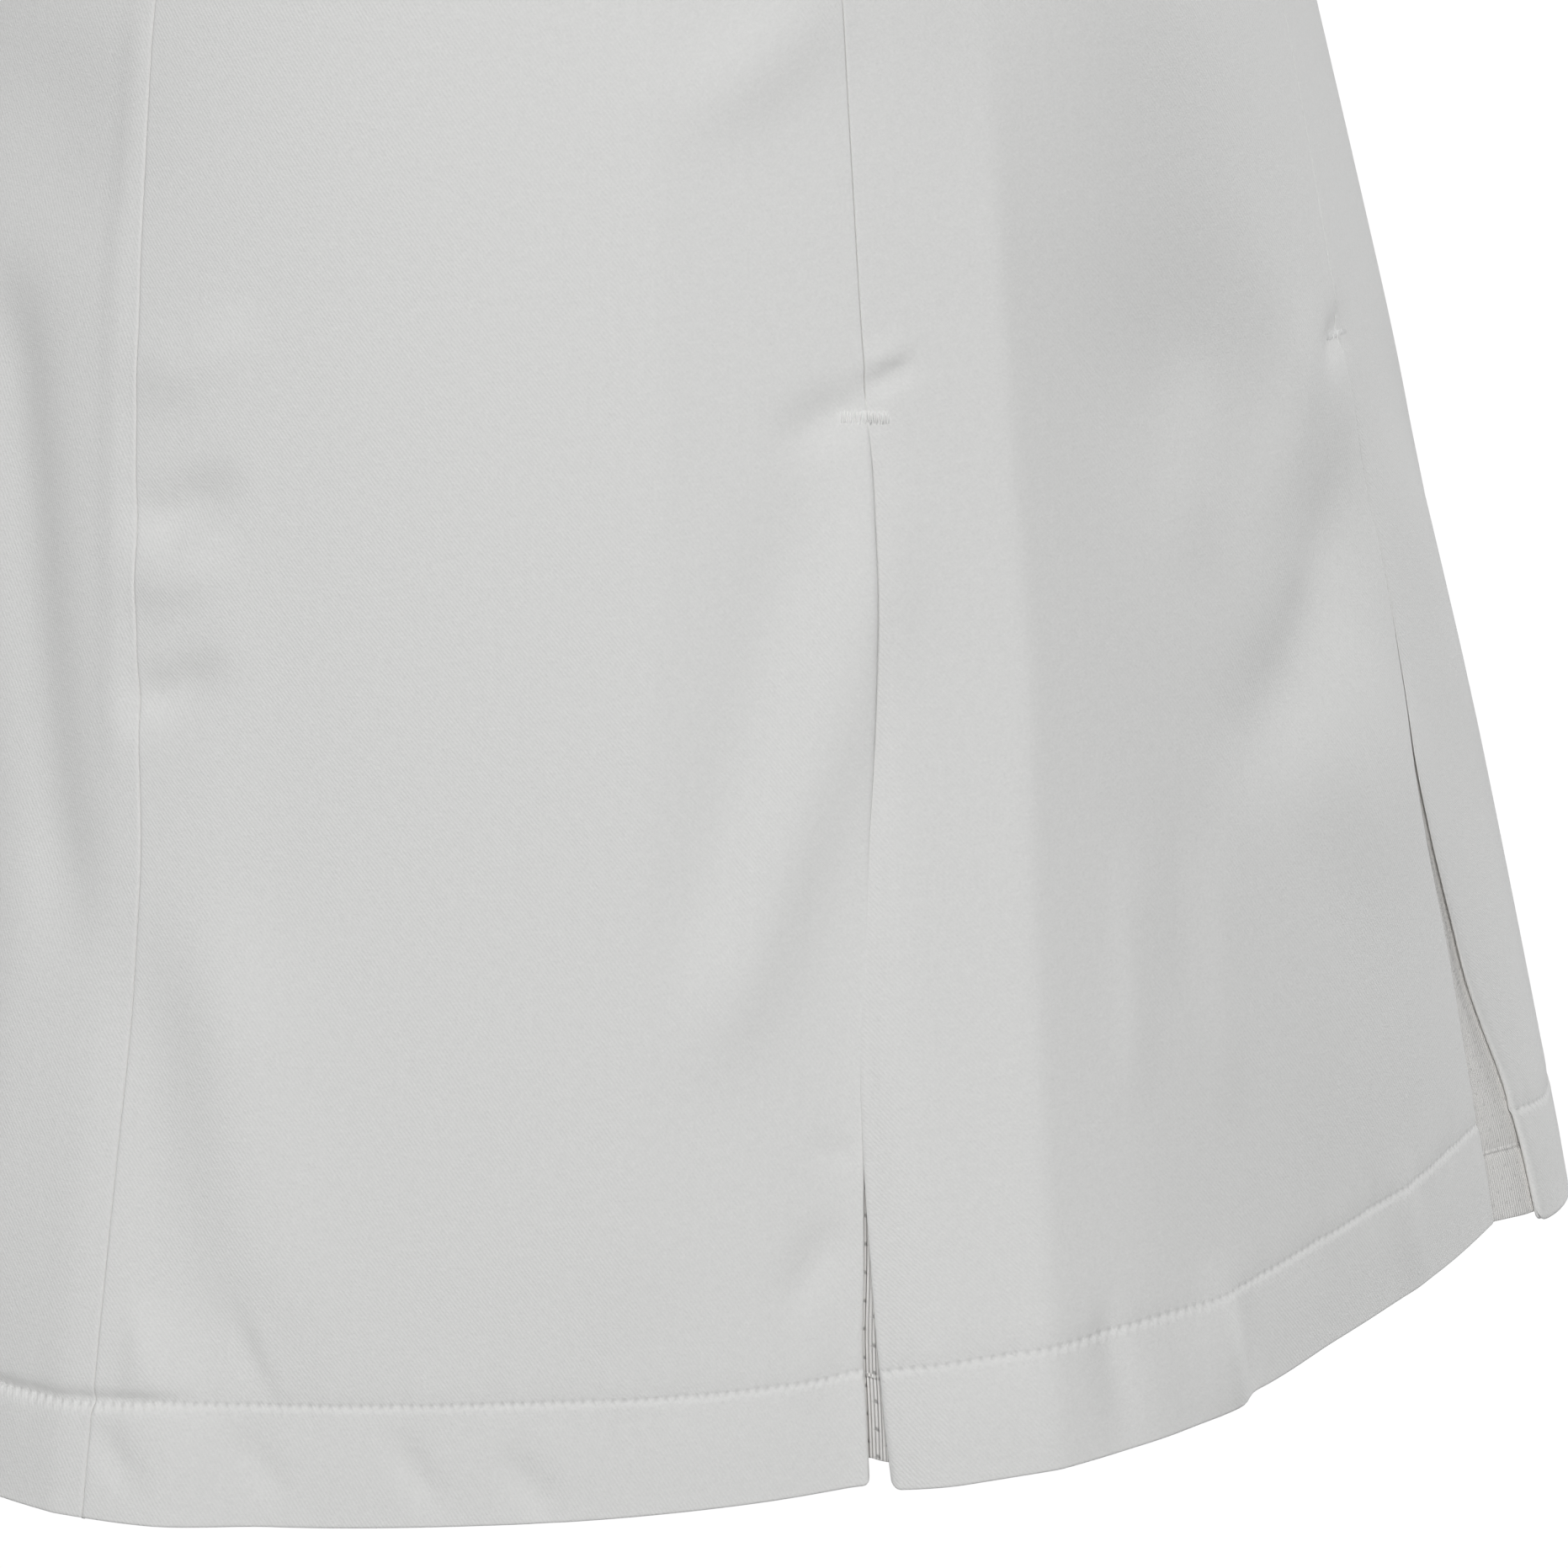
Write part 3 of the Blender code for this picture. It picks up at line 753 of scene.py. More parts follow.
SPECULAR = 0.25
SHEEN_ROUGHNESS = 0.5
DARK, LIGHT = 0.5, 1.5  # the darkest and lightest that a cloth's colour is shaded, as a share
RELIEF = 0.0001
THREAD_RELIEF = 0.00004
THREAD_TONES = (0.9, 1.06)
FIBRE_SCALE = 5200.0
KNIT_RIB = 0.62
RIB_SLANT = (0.8, 0.6)
ELASTIC_RIB = 1.15
OVERLOCK_WIDTH = 4.2
OVERLOCK_LOOP = 1.3
RIB_WIDTH = 0.56  # of the mesh
EYELET_COLUMN = 1.68
EYELET_ROW = 5.5
EYELET_SHIFT = 1.46
EYELET_RISE = -1.1
EYELET_SIZE = (0.42, 0.55)
NOTCH_SIZE = (0.95, 0.3)
NOTCH_DROP = 0.25
STITCH_RIDGE = 0.6
PIT_SIZE = (0.3, 0.8)  # along and across a row of stitches
BULGE_WIDTH = 0.34
# Where the cloth bulges beside a row of stitches: how far above it, half width, height
BULGES = ((-0.85, 1.3, 1.0), (0.75, 0.9, 0.6))

# How much each part of a surface counts in its relief and in its shade, where "even" is the shade
# that all of it has. In the mesh's, the second number counts as far as its eyelets are clear.
KNIT_RELIEF = {"ribs": 0.15, "fuzz": 1.3, "pile": 0.4}
CLOTH_RELIEF = {"knit": 0.8, "pit": -1.1, "bulge": 0.9, "loops": 0.8}
# In CLOTH_SHADE, "pit" darkens the colour in the stitch holes as painted shade.
CLOTH_SHADE = {"fuzz": 0.16, "pile": 0.06, "even": -0.11, "pit": -0.10, "bound": -0.03}
ELASTIC_RELIEF = {"knit": 0.25, "ribs": 0.3}
ELASTIC_SHADE = {"fuzz": 0.10, "pile": 0.06, "even": -0.08}
MESH_RELIEF = {"rib": (0.2, 1.4), "fuzz": (0.3, 0.0), "ridge": (2.2, 1.8), "eyelet": (0.0, -3.0),
               "notch": (0.0, -1.0), "pit": (-1.2, 0.0), "bulge": (0.5, 0.0)}
# In MESH_SHADE, the darker grooves, eyelets, notches and pits are painted shade, the eyelets
# standing in for the shadow seen through the holes.
MESH_SHADE = {"fuzz": (0.08, 0.0), "even": (-0.02, 0.0), "valley": (0.0, -0.14),
              "eyelet": (0.0, -0.42), "notch": (0.0, -0.16), "pit": (-0.08, 0.0)}


class Value:
    """A number in a material, for arithmetic."""

    def __init__(self, nodes, socket):
        self.nodes, self.socket = nodes, socket

    def math(self, operation, *others, swap=False):
        terms = [self, *others]
        if swap:
            terms.reverse()
        inputs = dict(enumerate(terms))
        return self.nodes.node("ShaderNodeMath", {"operation": operation}, inputs)[0]

    def __add__(self, other):
        return self.math('ADD', other)

    def __sub__(self, other):
        return self.math('SUBTRACT', other)

    def __rsub__(self, other):
        return self.math('SUBTRACT', other, swap=True)

    def __mul__(self, other):
        return self.math('MULTIPLY', other)

    def __truediv__(self, other):
        return self.math('DIVIDE', other)

    def __pow__(self, other):
        return self.math('POWER', other)

    __radd__, __rmul__ = __add__, __mul__

    def at_least(self, other):
        return self.math('MAXIMUM', other)

    def at_most(self, other):
        return self.math('MINIMUM', other)

    def wave(self, length):
        """-1 to 1, once every length."""
        return (self * (2 * pi / length)).math('SINE')

    def saw(self, length):
        """Distance to the nearest multiple of a length, from -0.5 to 0.5 of it."""
        return (self / length + 0.5).math('FRACT') - 0.5

    def bell(self, width):
        """1 at zero, falling smoothly to 0 at a width on either side."""
        near = (1.0 - (self / width) ** 2.0).at_least(0.0)
        return near * near


def blend(weights, **parts):
    """The sum of parts of a surface, each by its weight."""
    return sum(part * weights[key] for key, part in parts.items()) + weights.get("even", 0.0)


class Nodes:
    """A tree of nodes under construction."""

    def __init__(self, tree):
        self.tree = tree

    def link(self, value, socket):
        if isinstance(value, Value):
            self.tree.links.new(value.socket, socket)
        elif isinstance(value, bpy.types.NodeSocket):
            self.tree.links.new(value, socket)
        else:
            socket.default_value = value

    def node(self, kind, settings=None, inputs=None):
        """Make a node from its type, its settings and its inputs, and return its outputs."""
        made = self.tree.nodes.new(kind)
        for key, value in (settings or {}).items():
            setattr(made, key, value)
        for key, value in (inputs or {}).items():
            self.link(value, made.inputs[key])
        return [Value(self, output) for output in made.outputs]

    def show_camera(self, seen, otherwise, end):
        """Show the camera one shader, and let all other light meet another."""
        for_camera = self.node("ShaderNodeLightPath")[0]
        either = self.node("ShaderNodeMixShader", None, {0: for_camera, 1: otherwise, 2: seen})[0]
        self.link(either, self.tree.nodes[end].inputs["Surface"])


class Finish(Nodes):
    """A material under construction."""

    def __init__(self, name, roughness, sheen=0.0):
        self.material = bpy.data.materials.new(name)
        self.material.use_nodes = True
        super().__init__(self.material.node_tree)
        self.shader = self.tree.nodes["Principled BSDF"]
        self.set("Roughness", roughness)
        self.set("Specular IOR Level", SPECULAR)
        self.set("Sheen Weight", sheen)
        self.set("Sheen Roughness", SHEEN_ROUGHNESS)

    def set(self, socket, value):
        self.link(value, self.shader.inputs[socket])

    def cloth_place(self):
        """Across and up the cloth, in millimetres, and both as one vector."""
        chart = self.node("ShaderNodeUVMap", {"uv_map": "cloth"})[0]
        across, up, _ = self.node("ShaderNodeSeparateXYZ", None, {0: chart})
        return across, up, chart

    def noise(self, vector, scale, detail=2.0, roughness=0.5):
        inputs = {"Vector": vector, "Scale": scale, "Detail": detail, "Roughness": roughness}
        return self.node("ShaderNodeTexNoise", None, inputs)[0]

    def mix(self, factor, first, second):
        inputs = {"Factor": factor, 6: first, 7: second}
        return self.node("ShaderNodeMix", {"data_type": 'RGBA'}, inputs)[2]

    def relief(self, height, depth=RELIEF):
        """Bump the surface by a height between 0 and 1, worth a depth in metres."""
        inputs = {"Height": height, "Distance": depth, "Strength": 1.0}
        self.set("Normal", self.node("ShaderNodeBump", None, inputs)[0])

    def shaded(self, colour, shade):
        """Colour the surface, and make it darker or lighter by a share."""
        factor = (shade + 0.5).at_least(0.0).at_most(1.0)
        self.set("Base Color", self.mix(factor, paint(colour, DARK), paint(colour, LIGHT)))


def paint(colour, share):
    """A colour, made darker by a share."""
    return (*[channel * share for channel in colour], 1.0)


def knit(finish, across, up, chart):
    """Height of the brushed twill knit, fine slanting ribs under a short nap, and the nap."""
    ribs = (across * RIB_SLANT[0] + up * RIB_SLANT[1]).wave(KNIT_RIB)
    fuzz = finish.noise(chart, scale=1.7, detail=3.0, roughness=0.65)
    pile = finish.noise(chart, scale=0.55)
    return blend(KNIT_RELIEF, ribs=ribs, fuzz=fuzz, pile=pile), fuzz, pile


def stitch_pits(across, up, band, pitch):
    """Where each stitch draws the cloth in, and how the cloth bulges between the stitches. The
    shaders also darken the colour in the pits, as painted shade of the stitch holes.
    """
    line = up - band
    beat = across.saw(pitch)
    between = (beat.math('ABSOLUTE') - 0.5).bell(BULGE_WIDTH)
    pit = line.bell(PIT_SIZE[1]) * beat.bell(PIT_SIZE[0])
    return pit, sum((line - up).bell(width) * size for up, width, size in BULGES) * between


def cloth_finish(name, colour, band, pitch):
    """The panels' knit, with its hem's stitches and the overlock stitch round its raw edges."""
    finish = Finish(name, roughness=0.88, sheen=0.12)
    across, up, chart = finish.cloth_place()
    relief, fuzz, pile = knit(finish, across, up, chart)
    pit, bulge = stitch_pits(across, up, band, pitch)
    raw_edge = finish.node("ShaderNodeAttribute", {"attribute_name": "raw_edge"})[2]
    bound = (OVERLOCK_WIDTH - raw_edge).at_least(0.0).at_most(1.0)
    loops = bound * (across + up).wave(OVERLOCK_LOOP)
    finish.relief(blend(CLOTH_RELIEF, knit=relief, pit=pit, bulge=bulge, loops=loops))
    # The pits' darkening in this colour is painted shade of the stitch holes.
    finish.shaded(colour, blend(CLOTH_SHADE, fuzz=fuzz, pile=pile, pit=pit, bound=bound))
    return finish.material


def mesh_finish(name, colour, kind, pitch):
    """Warp-knitted mesh: fine ribs with staggered eyelets. The colour is darkened with painted
    shade in the grooves between the ribs, at the eyelets and notches, and in the stitch pits.
    """
    finish = Finish(name, roughness=0.85, sheen=0.05)
    across, up, chart = finish.cloth_place()
    rib = across.wave(RIB_WIDTH)
    # Darker between the ribs: painted shade of the grooves.
    valley = (0.5 - rib * 0.5) ** 3.0
    fuzz = finish.noise(chart, scale=3.0, roughness=0.6)
    columns = across + EYELET_SHIFT
    column = columns.saw(EYELET_COLUMN) * EYELET_COLUMN
    parity = (columns / EYELET_COLUMN + 0.5).math('FLOOR').math('MODULO', 2.0).math('ABSOLUTE')
    row = (up + parity * (EYELET_ROW / 2) + EYELET_RISE).saw(EYELET_ROW) * EYELET_ROW
    # The eyelets and notches are darkened in the colour below as painted shade of the hollows and
    # of the shadow behind the holes.
    eyelet = column.bell(EYELET_SIZE[0]) * row.bell(EYELET_SIZE[1])
    notch = column.bell(NOTCH_SIZE[0]) * (row + NOTCH_DROP).bell(NOTCH_SIZE[1])
    pit, bulge = stitch_pits(across, up, kind["hem"], pitch)
    ridge = (up - kind["hem"]).bell(STITCH_RIDGE)
    relief, shade = ({key: plain + more * kind["clear"] for key, (plain, more) in table.items()}
                     for table in (MESH_RELIEF, MESH_SHADE))
    finish.relief(blend(relief, rib=rib, fuzz=fuzz, ridge=ridge, eyelet=eyelet, notch=notch,
                        pit=pit, bulge=bulge))
    finish.shaded(colour, blend(shade, fuzz=fuzz, valley=valley, eyelet=eyelet, notch=notch,
                                pit=pit))
    return finish.material


def elastic_finish(name, colour):
    """The waistband's knit, ribbed round the waist over its elastic."""
    finish = Finish(name, roughness=0.86, sheen=0.1)
    across, up, chart = finish.cloth_place()
    relief, fuzz, pile = knit(finish, across, up, chart)
    finish.relief(blend(ELASTIC_RELIEF, knit=relief, ribs=across.wave(ELASTIC_RIB)))
    finish.shaded(colour, blend(ELASTIC_SHADE, fuzz=fuzz, pile=pile))
    return finish.material


def thread_finish(name, colour):
    """Polyester sewing thread with a slight twist."""
    finish = Finish(name, roughness=0.55)
    place = finish.node("ShaderNodeTexCoord")[3]
    fibres = finish.noise(place, FIBRE_SCALE, roughness=0.6)
    finish.relief(fibres, THREAD_RELIEF)
    finish.set("Base Color", finish.mix(fibres, *(paint(colour, tone) for tone in THREAD_TONES)))
    return finish.material


# ---- Settings that a user would change

Length = partial(FloatProperty, precision=5, unit='LENGTH')
Colour = partial(FloatVectorProperty, subtype='COLOR', size=3, min=0.0, max=1.0)


class SkirtSizes(PropertyGroup):
    """Sizes of the cloth and its sewing."""

    cloth: Length(
        name="Cloth thickness", description="Thickness of the knitted cloth",
        default=0.00045, min=0.0002, max=0.0009)
    mesh: Length(
        name="Mesh thickness", description="Thickness of the inserts' mesh",
        default=0.0004, min=0.0002, max=0.0009)
    pitch: Length(
        name="Stitch length", description="Distance from one hem stitch to the next",
        default=0.002, min=0.001, max=0.005)
    thread: Length(
        name="Thread width", description="Width of the sewing thread",
        default=0.0003, min=0.0001, max=0.001)
    tack_width: Length(
        name="Bar tack width", description="Width of the bar tack across each pleat",
        default=0.0086, min=0.003, max=0.02)
    tack_height: Length(
        name="Bar tack height", description="Height of each bar tack",
        default=0.0025, min=0.001, max=0.004)
    gathers: Length(
        name="Gather height", description="How far the waistband's gathers stand out",
        default=0.00028, min=0.0, max=0.001)


class SkirtColours(PropertyGroup):
    """Colours of the cloth, mesh, elastic, thread and floor."""

    cloth: Colour(
        name="Cloth", description="Colour of the knitted panels",
        default=(0.86, 0.852, 0.832))
    mesh: Colour(
        name="Mesh", description="Colour of the mesh inserts",
        default=(0.93, 0.91, 0.88))
    elastic: Colour(
        name="Waistband", description="Colour of the waistband",
        default=(0.86, 0.852, 0.832))
    # Darker than the cloth: painted shade, so that the sunk hem stitches read as shaded.
    thread: Colour(
        name="Thread", description="Colour of the sewing thread",
        default=(0.78, 0.775, 0.76))
    # Lighter than the hem's thread, though it is the same thread: a painted highlight on the bar
    # tacks.
    tack: Colour(
        name="Bar tacks", description="Colour of the bar tacks' thread",
        default=(0.93, 0.925, 0.91))
    floor: Colour(
        name="Floor", description="Colour of the floor",
        default=(1.0, 1.0, 1.0))


# ---- The cut pieces

class Pleat:
    """A pleat on the wearer's left (side 1) or right (side -1), from its table and two folds."""

    def __init__(self, table, side, inner, outer):
        self.table, self.side = table, side
        self.inner = Edge(self.inner_angle, *inner)
        self.outer = Edge(self.outer_angle, *outer)

    def inner_angle(self, drop):
        return self.side * read(self.table, 1, drop)

    def outer_angle(self, drop):
        fold = read(self.table, 1, drop)
        return self.side * (fold + read(self.table, 2, drop) / degree_width(fold, drop))

    def insert_edge(self, end):
        """The raw edge of the insert, at its left (end -1) or right (end 1)."""
        def angle_at(drop):
            fold = read(self.table, 1, drop)
            return self.side * fold + INSERT_HALF_WIDTH * end / degree_width(fold, drop)
        return InsertEdge(angle_at)

    def behind(self, angle, drop):
        """How far out the insert hangs, so that it touches the backs of the two returns."""
        fold, gap = read(self.table, 1, drop), read(self.table, 2, drop)
        x = (self.side * angle - fold) * degree_width(fold, drop)
        inner_out = self.inner.lift_at(np.maximum(-x, 0.0), angle, drop)
        outer_out = self.outer.lift_at(np.maximum(x - gap, 0.0), angle, drop)
        inner_lower = self.inner.lift_at(0.0, angle, drop) < self.outer.lift_at(0.0, angle, drop)
        start = np.where(inner_lower, 0.0, np.minimum(gap - INSERT_BEND, 0.0))
        end = np.where(inner_lower, np.maximum(gap, INSERT_BEND), gap)
        share = ease((x - start) / (end - start))
        half_depths = read(self.inner.fold, 2, drop), read(self.outer.fold, 2, drop)
        out = inner_out + (outer_out - inner_out) * share
        return out - 2 * np.maximum(*half_depths) - INSERT_GAP

    def insert(self, kind):
        return Cut(self.insert_edge(-1), self.insert_edge(1),
                   FINE_STEP if self.side > 0 else PLAIN_STEP,
                   kind["short"], kind["hem"], self.behind)


SIDES = {"left": 1, "right": -1}
SIDE_OUTER_FOLD = (SIDE_SOFT, LIFT_SIDE_OUTER, SIDE_OUTER_SINK, BACK_CORNER_DIP)
FRONT = {side: Pleat(FRONT_PLEAT, side, (FRONT_CRISP, None, FRONT_INNER_SINK),
                     (FRONT_SOFT, LIFT_FRONT_OUTER, FRONT_OUTER_SINK))
         for side in SIDES.values()}
SIDE = {side: Pleat(SIDE_PLEAT, side, (SIDE_CRISP,), SIDE_OUTER_FOLD)
        for side in SIDES.values()}
FRONT_SEAM_EDGE = Edge(lambda drop: read(FRONT_SEAM, 1, drop))
BACK_END = Edge(lambda drop: 360.0 + SIDE[-1].outer_angle(drop), *SIDE_OUTER_FOLD)
PANELS = {
    "front_left": Cut(FRONT_SEAM_EDGE, FRONT[1].inner, FINE_STEP),
    "front_right": Cut(FRONT[-1].inner, FRONT_SEAM_EDGE, PLAIN_STEP),
    "side_front_left": Cut(FRONT[1].outer, SIDE[1].inner, FINE_STEP),
    "side_front_right": Cut(SIDE[-1].inner, FRONT[-1].outer, PLAIN_STEP),
    "back": Cut(SIDE[1].outer, BACK_END, BACK_STEP),
}
INSERTS = {f"{place}_insert_{hand}": pleats[side].insert(kind)
           for place, pleats, kind in (("front", FRONT, FRONT_INSERT), ("side", SIDE, SIDE_INSERT))
           for hand, side in SIDES.items()}
# Pleat, side, how far the tack is sunk
TACKS = {f"{place}_tack_{hand}": (table, side, sunk)
         for place, table, sunk in (("front", FRONT_PLEAT, 0.0), ("side", SIDE_PLEAT, 0.45))
         for hand, side in SIDES.items()}
# The panels that meet at the plain seam, and whether it is at their right
SEAMED = {"front_left": False, "front_right": True}
TOP_MEASURE = 20.0  # a panel's upper width is taken this far below its top


def hem_spans(cut, pitch, thickness):
    """Where each stitch of a hem starts and ends, just proud of the cloth."""
    count = int((cut.width_at(cut.band) - STITCH_MARGIN) / pitch)
    middles = (np.arange(count) + 0.5) * pitch
    half = pitch * STITCH_SHARE
    heights = np.full(count, cut.band)
    starts = cut.surface(middles - half, heights - STITCH_SLANT)
    ends = cut.surface(middles + half, heights + STITCH_SLANT)
    above = cut.surface(middles, heights + CLOTH_SIDE)
    below = cut.surface(middles, heights - CLOTH_SIDE)
    out = np.cross(ends - starts, above - below)
    out /= np.linalg.norm(out, axis=-1, keepdims=True)
    sunk = out * thickness * STITCH_SUNK
    return list(zip(starts - sunk, ends - sunk, out))


def tack_spans(table, side, sunk, width, height):
    """The short upright threads of a bar tack, side by side across a pleat."""
    fold = float(read(table, 1, TACK_DROP))
    degree = float(degree_width(fold, TACK_DROP))

    def spot(x, drop, out):
        angle = np.array(side * fold + x / degree)
        return skin(angle, drop, out + crease_heights(angle, np.array(drop)))

    def wobble(key, k):
        return sum(size * sin(rate * k) for size, rate in TACK_WOBBLE[key])
    spans = []
    for k in range(TACK_THREADS):
        share = 2.0 * k / (TACK_THREADS - 1) - 1.0
        x = share * width / 2 - TACK_SHIFT
        level = TACK_DROP + side * TACK_TILT * share + wobble("level", k)
        half = 0.5 * height * (1.0 + wobble("length", k))
        lean = TACK_LEAN + wobble("lean", k)
        low = spot(x - lean, level + half, -sunk)
        high = spot(x + lean, level - half, -sunk)
        spans.append((low, high, spot(x, level, 1.0) - spot(x, level, 0.0)))
    return spans


def band_swell(share):
    """How far the elastic fills out the waistband, at a share of its half height."""
    return BAND_SWELL[0] + BAND_SWELL[1] * np.cos(share * pi / 2)


def band_grid(gathers):
    """The waistband as a ring, given as in Cut.grid."""
    around = np.linspace(-pi, pi, BAND_COLUMNS + 1)
    half_wall, half_height = BAND_WALL / 2, BAND_HEIGHT / 2
    straight = half_height - half_wall
    turn = np.linspace(0, pi, BAND_EDGE_ROWS + 1)
    rise = np.linspace(-1, 1, BAND_FACE_ROWS + 1)[1:-1]
    face = np.ones(len(rise))
    outward = np.concatenate([face, np.cos(turn), -face, -np.cos(turn), [1.0]])
    upward = np.concatenate([rise * straight, straight + half_wall * np.sin(turn),
                             -rise * straight, -straight - half_wall * np.sin(turn),
                             [rise[0] * straight]])
    steps = np.hypot(np.diff(upward), half_wall * np.diff(outward))
    v = np.cumsum(np.concatenate([[0], steps]))[:, None]
    outward, upward = outward[:, None], upward[:, None]
    share = upward / half_height

    def swing(size, times, shift):
        return size * np.sin(times * around + shift)
    ripple = np.sin(GATHERS * around + swing(*GATHER_SPACING))
    ripple = ripple * (1 - GATHER_HEIGHT[0] + swing(*GATHER_HEIGHT))
    gather = gathers * ripple * (GATHER_ENDS + (1 - GATHER_ENDS) * np.cos(share * pi / 2))
    pinch = sum(-BAND_PINCH * np.exp(-((upward - row) / BAND_PINCH_REACH) ** 2)
                for row in BAND_ROWS)
    out = band_swell(share) + outward * half_wall - half_wall + outward * (gather + pinch)
    drop = half_height - upward + 0 * around
    chart = np.stack([BAND_RADIUS * around + 0 * v, v + 0 * around], axis=-1)
    return skin(np.degrees(around), drop, out), chart, np.full(out.shape, FAR)


def band_spans(round_waist):
    """Where each stitch in the waistband's two rows starts and ends."""
    count = int(round_waist / BAND_PITCH)
    angles = np.linspace(-180.0, 180.0, count, endpoint=False)
    half = BAND_STITCH_SHARE * 360.0 / count
    spans = []
    for row in BAND_ROWS:
        drop = np.full(count, BAND_HEIGHT / 2 - row)
        level = band_swell(row / (BAND_HEIGHT / 2)) - BAND_PINCH
        out = skin(angles, drop, level + 1.0) - skin(angles, drop, level)
        spans += zip(skin(angles - half, drop, level), skin(angles + half, drop, level), out)
    return spans


def set_down(piece, node):
    """Let a finished piece ride on the skirt and stand for its solid."""
    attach(piece, "root")
    if node:
        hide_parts(node)
    return piece


def sewn_hem(context, name, cut, material):
    """The stitches along the hem of a cut piece."""
    sizes = context.scene.skirt_sizes
    spans = hem_spans(cut, sizes.pitch / MM, sizes.thread)
    data = threads(name, spans, sizes.thread, sizes.thread * STITCH_HEIGHT)
    return set_down(finished(name, data, material), None)


def materials(context):
    """The skirt's materials, made once."""
    sizes, colours = context.scene.skirt_sizes, context.scene.skirt_colours
    pitch = sizes.pitch / MM
    made = {
        "knit": lambda: cloth_finish("knit", colours.cloth, HEM_BAND, pitch),
        "front_mesh": lambda: mesh_finish("front_mesh", colours.mesh, FRONT_INSERT, pitch),
        "side_mesh": lambda: mesh_finish("side_mesh", colours.mesh, SIDE_INSERT, pitch),
        "elastic": lambda: elastic_finish("elastic", colours.elastic),
        "thread": lambda: thread_finish("thread", colours.thread),
        "tack_thread": lambda: thread_finish("tack_thread", colours.tack),
    }

    def named(name):
        return bpy.data.materials.get(name) or made[name]()
    return named


def make_panel(context, name):
    """Make one panel with its hem stitches and seam allowance."""
    sizes = context.scene.skirt_sizes
    named = materials(context)
    cut = PANELS[name]
    wall = sizes.cloth / MM

    def knitted(name, grid, node):
        strip = finished(name, cloth_mesh(name, *grid), named("knit"))
        thicken(strip, sizes.cloth)
        return set_down(strip, node)
    piece = knitted(f"{name}_cloth", cut.grid(wall), name)
    sewn_on = [sewn_hem(context, f"{name}_hem_stitches", cut, named("thread"))]
    turned_in = sum(RETURN_WIDTH for edge in (cut.left, cut.right) if edge.fold)
    if name in SEAMED:
        grid = cut.allowance(SEAMED[name], wall)
        sewn_on.append(knitted(f"{name}_seam_allowance", grid, None))
        turned_in += ALLOWANCE
    bottom, top = cut.width_at(0.0), cut.width_at(LENGTH - PANEL_TOP - TOP_MEASURE)


class SKIRT_OT_front_panels(Operator):
    """Make the two front panels that meet at the plain seam, with their allowances inside"""
    bl_idname = "skirt.front_panels"
    bl_label = "Front panels"

    def execute(self, context):
        for name in ("front_left", "front_right"):
            make_panel(context, name)
        return {'FINISHED'}


class SKIRT_OT_side_panels(Operator):
    """Make the two side fronts, each from its front pleat to its side pleat"""
    bl_idname = "skirt.side_panels"
    bl_label = "Side fronts"

    def execute(self, context):
        for name in ("side_front_left", "side_front_right"):
            make_panel(context, name)
        return {'FINISHED'}


class SKIRT_OT_back_panel(Operator):
    """Make the back, one piece from side pleat to side pleat"""
    bl_idname = "skirt.back_panel"
    bl_label = "Back"

    def execute(self, context):
        make_panel(context, "back")
        return {'FINISHED'}


class SKIRT_OT_inserts(Operator):
    """Make the mesh inserts behind the four pleats"""
    bl_idname = "skirt.inserts"
    bl_label = "Mesh inserts"

    def execute(self, context):
        sizes = context.scene.skirt_sizes
        named = materials(context)
        for name, cut in INSERTS.items():
            finish = named("front_mesh" if name.startswith("front") else "side_mesh")
            data = cloth_mesh(name, *cut.grid(sizes.mesh / MM))
            piece = finished(f"{name}_mesh", data, finish)
            thicken(piece, sizes.mesh)
            set_down(piece, name)
            stitches = sewn_hem(context, f"{name}_hem_stitches", cut, named("thread"))
            length = (hem_drop(cut.middle) - PANEL_TOP + cut.band) * MM
        return {'FINISHED'}


class SKIRT_OT_bar_tacks(Operator):
    """Make the bar tack across each pleat"""
    bl_idname = "skirt.bar_tacks"
    bl_label = "Bar tacks"

    def execute(self, context):
        sizes = context.scene.skirt_sizes
        named = materials(context)
        thick = TACK_THREAD_WIDTH * sizes.thread
        for name, tack in TACKS.items():
            spans = tack_spans(*tack, sizes.tack_width / MM, sizes.tack_height / MM)
            data = threads(name, spans, thick, TACK_THREAD_DEPTH * thick)
            set_down(finished(name, data, named("tack_thread")), None)
        return {'FINISHED'}


class SKIRT_OT_waistband(Operator):
    """Make the elastic waistband with its gathers"""
    bl_idname = "skirt.waistband"
    bl_label = "Waistband"

    def execute(self, context):
        sizes = context.scene.skirt_sizes
        named = materials(context)
        data = cloth_mesh("waistband", *band_grid(sizes.gathers / MM), ring=True)
        piece = finished("waistband_elastic", data, named("elastic"))
        set_down(piece, "waistband")
        round_waist = float(arc_length(-180.0, 180.0, BAND_HEIGHT / 2, chords=90))
        name = "waistband_stitches"
        data = threads(name, band_spans(round_waist), sizes.thread, sizes.thread)
        stitches = set_down(finished(name, data, named("thread")), None)
        return {'FINISHED'}


class SKIRT_OT_stage(Operator):
    """Make the floor, the lights and the camera"""
    bl_idname = "skirt.stage"
    bl_label = "Stage"

    def execute(self, context):
        floor_and_sky(context)
        lights(context)
        camera(context)
        return {'FINISHED'}


# ---- Stage

FLOOR_DROP = 1.7
FLOOR_RADIUS = 40.0
FLOOR_SEGMENTS = 96
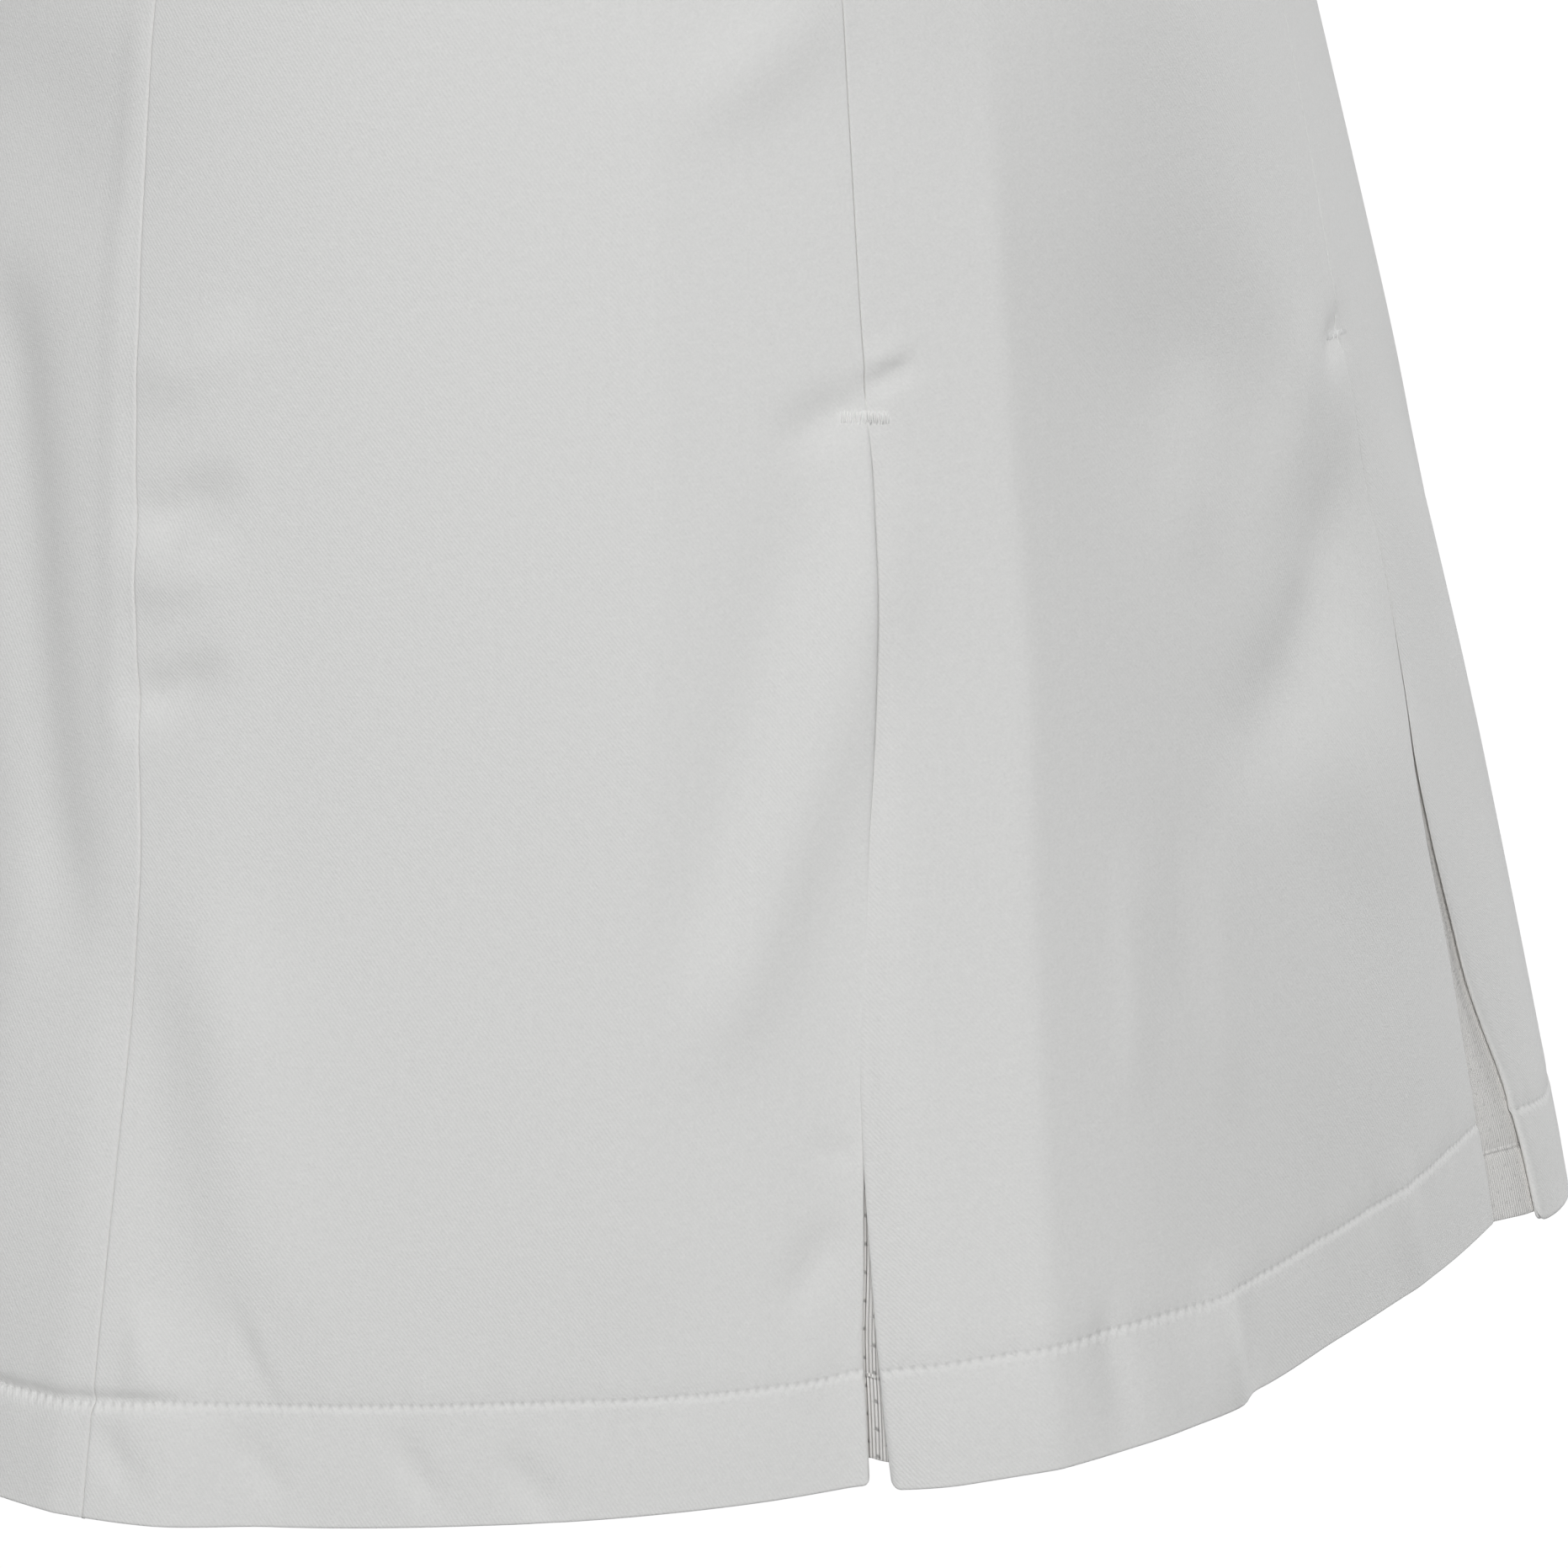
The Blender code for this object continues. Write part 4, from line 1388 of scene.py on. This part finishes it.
# Name, angle round the skirt, height angle, distance, size, power, colour
LIGHTS = (
    ("key", 28.0, 38.0, 8.0, 3.4, 424.0, (0.98, 0.99, 1.0)),
    ("rim", 157.0, 14.0, 8.0, 3.4, 306.0, (0.98, 0.99, 1.0)),
    ("fill", -40.0, 20.0, 8.0, 3.4, 35.0, (0.98, 0.99, 1.0)),
)
AIM = Vector((0.0, 0.0, -0.19))
CAMERA = {"distance": 1.3, "angle": 31.4, "height": 0.089, "yaw": 2.07, "pitch": 15.25,
          "lens": 141.2}
SENSOR_WIDTH = 36.0
FLOOR_TONE = 0.5  # of its colour, where the floor lights the skirt
WHITE = 1.02  # strength of what the camera sees of the floor and the wall
SKY_COLOUR = (0.96, 0.98, 1.0, 1.0)
SKY_LIGHT = 0.093


def direction(angle, height):
    angle, height = radians(angle), radians(height)
    return Vector((sin(angle) * cos(height), -cos(angle) * cos(height), sin(height)))


def floor_and_sky(context):
    """The floor and the wall, which the camera sees brighter than they light the skirt."""
    mesh = bmesh.new()
    bmesh.ops.create_circle(mesh, cap_ends=True, segments=FLOOR_SEGMENTS, radius=FLOOR_RADIUS,
                            matrix=Matrix.Translation((0, 0, -FLOOR_DROP)))
    data = bpy.data.meshes.new("floor")
    mesh.to_mesh(data)
    mesh.free()
    finish = Finish("floor", roughness=0.9)
    finish.set("Base Color", paint(context.scene.skirt_colours.floor, FLOOR_TONE))
    glow = finish.node("ShaderNodeEmission", None, {"Color": (1, 1, 1, 1), "Strength": WHITE})[0]
    finish.show_camera(glow, finish.shader.outputs[0], "Material Output")
    finished("floor", data, finish.material)
    world = bpy.data.worlds.new("studio")
    world.use_nodes = True
    sky = Nodes(world.node_tree)
    light = sky.tree.nodes["Background"]
    sky.link(SKY_COLOUR, light.inputs["Color"])
    sky.link(SKY_LIGHT, light.inputs["Strength"])
    wall = sky.node("ShaderNodeBackground", None, {"Strength": WHITE})[0]
    sky.show_camera(wall, light.outputs[0], "World Output")
    context.scene.world = world
    context.scene.view_settings.view_transform = 'Standard'


def lights(context):
    for name, angle, height, distance, size, power, colour in LIGHTS:
        data = bpy.data.lights.new(name, 'AREA')
        data.shape = 'SQUARE'
        data.size = size
        data.energy = power
        data.color = colour
        light = bpy.data.objects.new(name, data)
        light.location = AIM + direction(angle, height) * distance
        light.rotation_euler = direction(angle, height).to_track_quat('Z', 'Y').to_euler()
        light.visible_camera = False
        context.scene.collection.objects.link(light)


def camera(context):
    data = bpy.data.cameras.new("camera")
    data.lens = CAMERA["lens"]
    data.sensor_width = SENSOR_WIDTH
    view = bpy.data.objects.new("camera", data)
    turn = radians(CAMERA["angle"])
    back = Vector((sin(turn), -cos(turn), 0.0)) * CAMERA["distance"]
    view.location = back + Vector((0, 0, CAMERA["height"]))
    view.rotation_euler = (radians(90.0 - CAMERA["pitch"]), 0.0, turn - radians(CAMERA["yaw"]))
    context.scene.collection.objects.link(view)
    context.scene.camera = view


# ---- Add-on

OPERATORS = (
    SKIRT_OT_stage, SKIRT_OT_waistband, SKIRT_OT_front_panels, SKIRT_OT_side_panels,
    SKIRT_OT_back_panel, SKIRT_OT_inserts, SKIRT_OT_bar_tacks,
)


class SKIRT_PT_sidebar(Panel):
    """Sizes, colours and pieces of the skirt"""
    bl_idname = "SKIRT_PT_sidebar"
    bl_label = "Tennis Skirt"
    bl_space_type = 'VIEW_3D'
    bl_region_type = 'UI'
    bl_category = "Skirt"

    def draw(self, context):
        layout = self.layout
        for group in (context.scene.skirt_sizes, context.scene.skirt_colours):
            box = layout.box()
            for key in group.__annotations__:
                box.prop(group, key)
        for operator in OPERATORS:
            layout.operator(operator.bl_idname)


CLASSES = (SkirtSizes, SkirtColours, *OPERATORS, SKIRT_PT_sidebar)


def register():
    for cls in CLASSES:
        bpy.utils.register_class(cls)
    bpy.types.Scene.skirt_sizes = PointerProperty(type=SkirtSizes)
    bpy.types.Scene.skirt_colours = PointerProperty(type=SkirtColours)


def unregister():
    del bpy.types.Scene.skirt_colours
    del bpy.types.Scene.skirt_sizes
    for cls in reversed(CLASSES):
        bpy.utils.unregister_class(cls)


def main():
    register()
    bpy.ops.skirt.stage()
    bpy.ops.skirt.waistband()
    bpy.ops.skirt.front_panels()
    bpy.ops.skirt.side_panels()
    bpy.ops.skirt.back_panel()
    bpy.ops.skirt.inserts()
    bpy.ops.skirt.bar_tacks()


if __name__ == "__main__":
    main()
